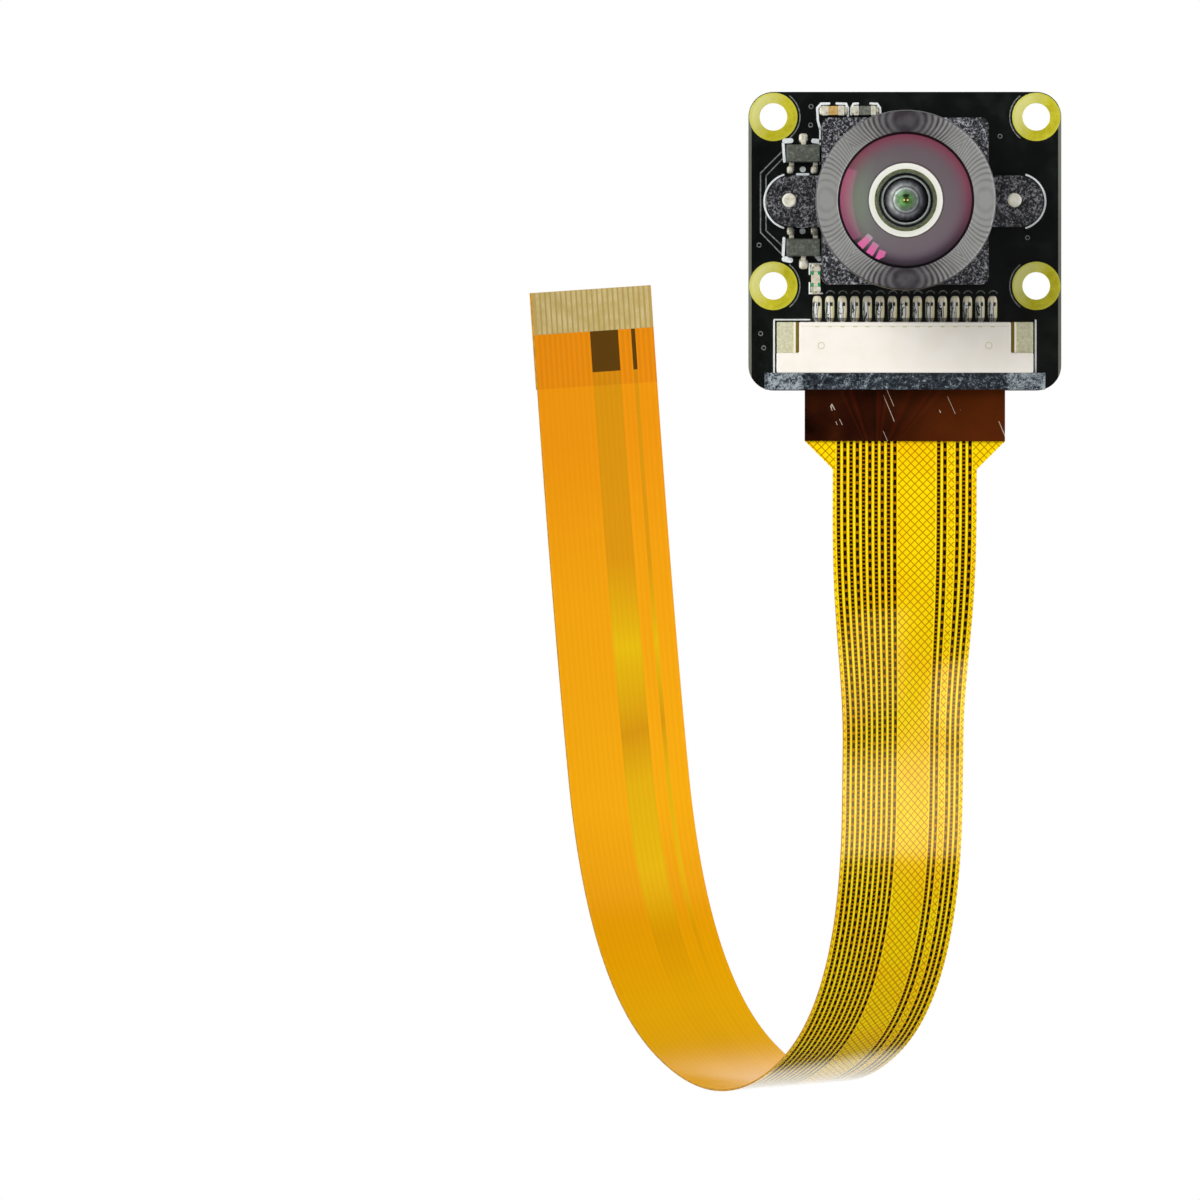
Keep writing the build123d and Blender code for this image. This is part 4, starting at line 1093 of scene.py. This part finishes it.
# Painted shade: the lugs are darker than the rest of the holder.
lug_painted_shade = add("MapRange", {0: off_centre(add, 0), 1: 6.8, 2: 7.2, 3: 0.0, 4: 0.45})
tone = add("Mix", {0: lug_painted_shade, 6: tone, 7: "0c0c0e"})
matt = add("MapRange", {0: flecks, 3: 0.7, 4: 0.42})
bump = add("Bump", {"Height": flecks, "Strength": 0.5, "Distance": 0.00006})
surface(add, {"Base Color": tone, "Roughness": matt, "Normal": bump})
dress("lens_holder", moulded, 0.12)


def stack(rings, segments=24, power=1.0):
    """A closed shape of level rings, each (x, z, half width, half depth, height over the board).
    A power below 1 makes the rings squarer."""
    points, faces = [], []
    for x, z, half_x, half_z, height in rings:
        for number in range(segments):
            turn = 2 * math.pi * number / segments
            east, north = math.cos(turn), math.sin(turn)
            east = math.copysign(abs(east) ** power, east)
            north = math.copysign(abs(north) ** power, north)
            points.append((x + half_x * east, board_y - height, z + half_z * north))
    for base in range(0, len(points) - segments, segments):
        for number in range(segments):
            other = (number + 1) % segments
            faces.append((base + number, base + other, base + segments + other, base + segments + number))
    faces += [list(range(segments)), list(range(len(points) - segments, len(points)))]
    return points, faces


steel = grained("zinc_plated_screw_steel", [(0.3, "cfc8ae"), (0.46, "f2edd8"), (0.66, "fffdf4")],
                0.5, (0.3, 0.5), 0.02, 0.15)
dress("holder_screws", steel, 0.08)
lug_height = 2.2
tips = []
for x in (-lug_x - 0.25, lug_x - 0.25):
    tips.append(stack([
        (x, 0.08, 0.42, 0.42, lug_height - 0.12), (x, 0.08, 0.58, 0.58, lug_height - 0.06),
        (x, 0.08, 0.57, 0.57, lug_height), (x, 0.08, 0.5, 0.5, lug_height + 0.06),
        (x + 0.03, 0.05, 0.36, 0.38, lug_height + 0.07), (x - 0.04, 0.02, 0.24, 0.28, lug_height + 0.045),
        (x - 0.06, 0.0, 0.12, 0.16, lug_height + 0.035),
    ], 40))
piece("screw_tips", *joined(tips), "camera_board", steel, "screw_steel", smooth=50)
skins = []
for x in (-lug_x, lug_x):
    rises = ((0.85, -0.02), (0.85, 0.0), (0.8, 0.01))
    skins.append(stack([(x, 0, radius, radius, lug_height + rise) for radius, rise in rises]))
piece("lug_skins", *joined(skins), "camera_board", moulded, "black_moulding")
print("screw tips:", len(tips))

# %% [markdown]
# Each contact ends in a foot that is soldered to its pad. Solder wets the pad to its edge and
# rises to the foot, so a joint is a low mound with rounded corners. Its colour carries painted
# light: the left side is dulled by flux and by painted shade, a white streak along the middle is
# a painted highlight of the foot, the end of the foot shows as a dark dot of painted shadow, and
# the lower end of each joint is painted darker, a painted shade.

# %% Solder joints and contacts
joint, add = material("reflowed_solder_with_painted_light")
place = add("TexCoord", out="Object")
across, depth = millimetres(add, 0), millimetres(add, 2)
wobble = add("TexNoise", {"Vector": place, "Scale": 1100.0, "Detail": 2.0})
spread = add("MapRange", {0: wobble, 3: -0.12, 4: 0.12})
bent = add("Math", {0: across, 1: spread}, operation="ADD")
local = cell(add, bent, -0.5, 1.0)
# Across each joint: the dull left side, flux and painted shade, then a white painted highlight of the foot,
# then the pale right side.
tone = add("ValToRGB", {0: local}, stops=[
    (0.14, "b0b8a8"), (0.27, "262c24"), (0.33, "ffffff"), (0.5, "ffffff"),
    (0.57, "4c4a34"), (0.63, "fff8dc"), (0.84, "cfc690"),
])
long_way = add("Mapping", {"Vector": place, "Scale": (2600, 2600, 1000)})
curl = add("TexNoise", {"Vector": long_way, "Scale": 1.0, "Detail": 1.0, "Distortion": 1.0})
curl = add("Math", {0: between(add, curl, 0.45, 0.53), 1: between(add, local, 0.0, 0.48)},
            operation="MULTIPLY")
curl = add("Math", {0: curl, 1: between(add, depth, -9.7, -8.0)}, operation="MULTIPLY")
tone = add("Mix", {0: curl, 6: tone, 7: "2a3028"})
# Painted shadow: a dark dot where the foot ends.
dot = add("Math", {0: between(add, local, 0.53, 0.74), 1: between(add, depth, -8.36, -8.06)},
           operation="MULTIPLY")
top_end = add("MapRange", {0: depth, 1: -8.15, 2: -7.9, 3: 0.0, 4: 0.85})
tone = add("Mix", {0: top_end, 6: tone, 7: "eee6c8"})
# Painted shade: the lower end of each joint is darker.
painted_shade_low_end = add("Math", {0: depth, 1: -9.3}, operation="LESS_THAN")
dull = add("Math", {0: painted_shade_low_end, 1: 0.7}, operation="MULTIPLY")
shade = add("Math", {0: dot, 1: dull}, operation="MAXIMUM")
in_row = between(add, depth, -9.6, -7.55)
shade = add("Math", {0: shade, 1: in_row}, operation="MULTIPLY")
tone = add("Mix", {0: shade, 6: tone, 7: "262a22"})
sheen = add("MapRange", {0: wobble, 3: 0.22, 4: 0.42})
bump = add("Bump", {"Height": wobble, "Strength": 0.4, "Distance": 0.00006})
surface(add, {"Base Color": tone, "Metallic": 0.1, "Roughness": sheen, "Normal": bump})

contact_count, contact_pitch = 15, 1.0
contact_places = [(number - (contact_count - 1) / 2) * contact_pitch for number in range(contact_count)]
joints = []
for x in contact_places:
    z, drift = -8.6, random.uniform(-0.02, 0.02)
    joints.append(stack([
        (x, z, 0.38, 1.05, 0.0), (x, z, 0.38, 1.05, 0.08), (x + drift, z, 0.35, 1.02, 0.15),
        (x + drift, z, 0.26, 0.94, 0.2), (x + drift, z, 0.12, 0.8, 0.22),
    ], 28, 0.5))
piece("contact_joints", *joined(joints), "camera_board", joint, "solder", ["contact_pads"], 60)
dress("connector_contacts", joint, 0.03)
lips = [stroke(arc(x + 0.05, -7.5, 0.36, 25, 155, 10), 0.06, 0, trace_height) for x in contact_places]
piece("mask_lips", *joined(lips), "camera_board", traced, "board_laminate")
print("joints:", len(joints))

# %% [markdown]
# The connector's body is ivory nylon, moulded smooth, with a light ring where an ejector pin
# pushed it out of the mould and a small notch over each contact. Its fixing tabs are stamped
# brass with a tin plating that has gone matt; the bent edge shows yellow. The latch is slate grey
# nylon. Sliding it in and out has left rubbed marks all over its face.

# %% Connector
ivory = grained("ivory_nylon", [(0.3, "f6efe4"), (0.6, "f9f3ea")], 1.6, (0.4, 0.5), 0.01, detail=2.0)
dress("connector_housing", ivory, 0.1)
# Painted shade: the notches, the line along the body and the ejector rings are thin skins in the colour of
# the ivory in shade.
shadowed = grained("ivory_nylon_in_shade", [(0.3, "cbc490"), (0.7, "dcd7b4")], 0.3, (0.5, 0.6), 0.01)
housing_height = 2.5
skin_low, skin_high = housing_height - 0.01, housing_height + 0.006
notches = [stroke([(x - 0.12, -10.02), (x + 0.12, -10.02)], 0.1, skin_low, skin_high) for x in contact_places]
notches += [stroke([(-8.3, -9.98), (8.3, -9.98)], 0.03, skin_low, housing_height + 0.004)]
notches += [stroke(arc(x, -11.53, 0.25, 0, 355, 30), 0.06, skin_low, skin_high) for x in (-6.69, 6.69)]
piece("moulding_marks", *joined(notches), "camera_board", shadowed, "ivory_nylon")

tab_metal, add = material("tin_plated_brass_tab")
place = add("TexCoord", out="Object")
side = off_centre(add, 0)
mottle = add("TexNoise", {"Vector": place, "Scale": 4200.0, "Detail": 4.0})
plated = add("ValToRGB", {0: mottle}, stops=[(0.35, "d6d2ac"), (0.65, "eae8ca")])
bend_at, flat_from = 8.72, 8.9
edge = between(add, side, bend_at, flat_from)
plated = add("Mix", {0: edge, 6: plated, 7: "f8f4de"})
brass = add("Math", {0: side, 1: bend_at}, operation="LESS_THAN")
plated = add("Mix", {0: brass, 6: plated, 7: "806c14"})
dull = add("MapRange", {0: mottle, 3: 0.4, 4: 0.55})
surface(add, {"Base Color": plated, "Metallic": 0.2, "Roughness": dull})
dress("connector_tabs", tab_metal, 0.05)

rubbed, add = material("rubbed_slate_nylon")
place = add("TexCoord", out="Object")
swirl = add("TexNoise", {"Vector": place, "Scale": 700.0, "Detail": 1.0, "Distortion": 3.0})
fine = add("TexNoise", {
    "Vector": place, "Scale": 3200.0, "Detail": 4.0, "Roughness": 0.8, "Distortion": 2.0,
})
sum_of = add("Math", {0: swirl, 1: 0.4, 2: fine}, operation="MULTIPLY_ADD")
worn_end = add("MapRange", {0: off_centre(add, 0), 1: 8.0, 2: 8.3, 3: 0.0, 4: 0.13})
sum_of = add("Math", {0: sum_of, 1: worn_end}, operation="ADD")
share = add("MapRange", {0: sum_of, 1: 0.5, 2: 0.95})
slate = add("ValToRGB", {0: share}, stops=[
    (0.24, "0b0f13"), (0.47, "262e38"), (0.63, "47525c"), (0.84, "a4aeb4"),
])
bump = add("Bump", {"Height": share, "Strength": 0.4, "Distance": 0.00005})
surface(add, {"Base Color": slate, "Roughness": 0.45, "Normal": bump})
dress("connector_latch", rubbed, 0.1)
print("notches:", len(notches))

# %% [markdown]
# The small parts are soldered by machine. A regulator is a block of dark epoxy on three formed
# leads. The capacitor's body is orange-brown ceramic, the other chip's is grey. The lamp is a pale
# resin block with a green mark at each end, which tells its polarity. All have tin-plated ends.

# %% Small components
epoxy = grained("transfer_moulded_epoxy", [(0.3, "484d45"), (0.55, "62675e"), (0.75, "888c80")],
                0.25, (0.45, 0.6), 0.02)
ceramic = grained("orange_brown_ceramic", [(0.3, "bd9048"), (0.6, "deb872")], 0.2, (0.35, 0.5), 0.01)
grey = grained("grey_green_ceramic", [(0.3, "5f635c"), (0.65, "8a8d82")], 0.2, (0.35, 0.5), 0.01)
resin = grained("pale_lamp_resin", [(0.3, "cfc6ac"), (0.7, "eee8d6")], 0.35, (0.3, 0.4), 0.01)
tin = grained("tinned_component_end", [(0.28, "b9b08a"), (0.44, "f0ead2"), (0.68, "fffdf4")],
              0.3, (0.25, 0.4), 0.03, 0.25)
for name, finish, ends, rounding in (
    ("upper_regulator", epoxy, "_leads", 0.08), ("lower_regulator", epoxy, "_leads", 0.08),
    ("capacitor", ceramic, "_ends", 0.05), ("grey_chip", grey, "_ends", 0.05),
    ("chip_lamp", resin, "_ends", 0.06),
):
    dress(name, finish, rounding)
    dress(name + ends, tin, 0.07)

fillets = []
for x, z, half_x, half_z in (
    (-6.62, 7.25, 0.2, 0.36), (-4.8, 7.25, 0.2, 0.36), (-4.1, 7.25, 0.2, 0.36), (-2.3, 7.25, 0.2, 0.36),
    (-7.12, -5.12, 0.36, 0.16), (-7.12, -7.26, 0.36, 0.16),
    (-9.15, 2.5, 0.27, 0.3), (-7.25, 2.5, 0.27, 0.3), (-8.1, 5.05, 0.37, 0.38),
    (-9.15, -2.36, 0.27, 0.32), (-7.25, -2.36, 0.27, 0.32), (-8.1, -4.98, 0.36, 0.44),
):
    levels = ((1.0, 0.0), (0.97, 0.12), (0.8, 0.26), (0.4, 0.32))
    rings = [(x, z, half_x * share, half_z * share, height) for share, height in levels]
    fillets.append(stack(rings, 24, 0.6))
piece("component_fillets", *joined(fillets), "camera_board", tin, "solder", smooth=60)
green = grained("green_polarity_mark", [(0.3, "1f8c55"), (0.7, "35b070")], 0.2, (0.45, 0.6), 0.01)
lamp_top = 0.565
signs = [stroke([(x, z), (x, z + 0.14)], 0.2, lamp_top - 0.02, lamp_top + 0.015)
         for x in (-7.38, -6.86) for z in (-5.78, -6.74)]
piece("lamp_marks", *joined(signs), "camera_board", green, "lamp_resin")
print("fillets:", len(fillets), "marks on the lamp:", len(signs))

# %% [markdown]
# Inside the holder lie the image sensor, its cover glass and the infrared filter. They hardly show
# from outside, but each has its own finish, for anyone who takes the holder off.

# %% Sensor, glasses and filter
silicon, add = material("microlens_covered_silicon")
place = add("TexCoord", out="Object")
grid = add("VectorMath", {0: place, 1: (20000, 20000, 20000)}, operation="MULTIPLY")
dots = add("TexVoronoi", {"Vector": grid, "Scale": 1.0})
tone = add("ValToRGB", {0: dots}, stops=[(0.0, "3a5a4c"), (0.5, "2a3350"), (1.0, "51324f")])
surface(add, {"Base Color": tone, "Roughness": 0.25, "Metallic": 0.4})
dress("image_sensor", silicon)
dress("sensor_glass", clear_glass)
blue_glass, add = material("infrared_blocking_glass")
slant = add("LayerWeight", {0: 0.4}, 1)
tone = add("ValToRGB", {0: slant}, stops=[(0.0, "6fb4c8"), (1.0, "b04a5c")])
surface(add, {"Base Color": tone, "Alpha": 0.5, "Roughness": 0.04, "IOR": 1.52})
dress("infrared_filter", blue_glass)
print("dressed nodes:", len(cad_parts))
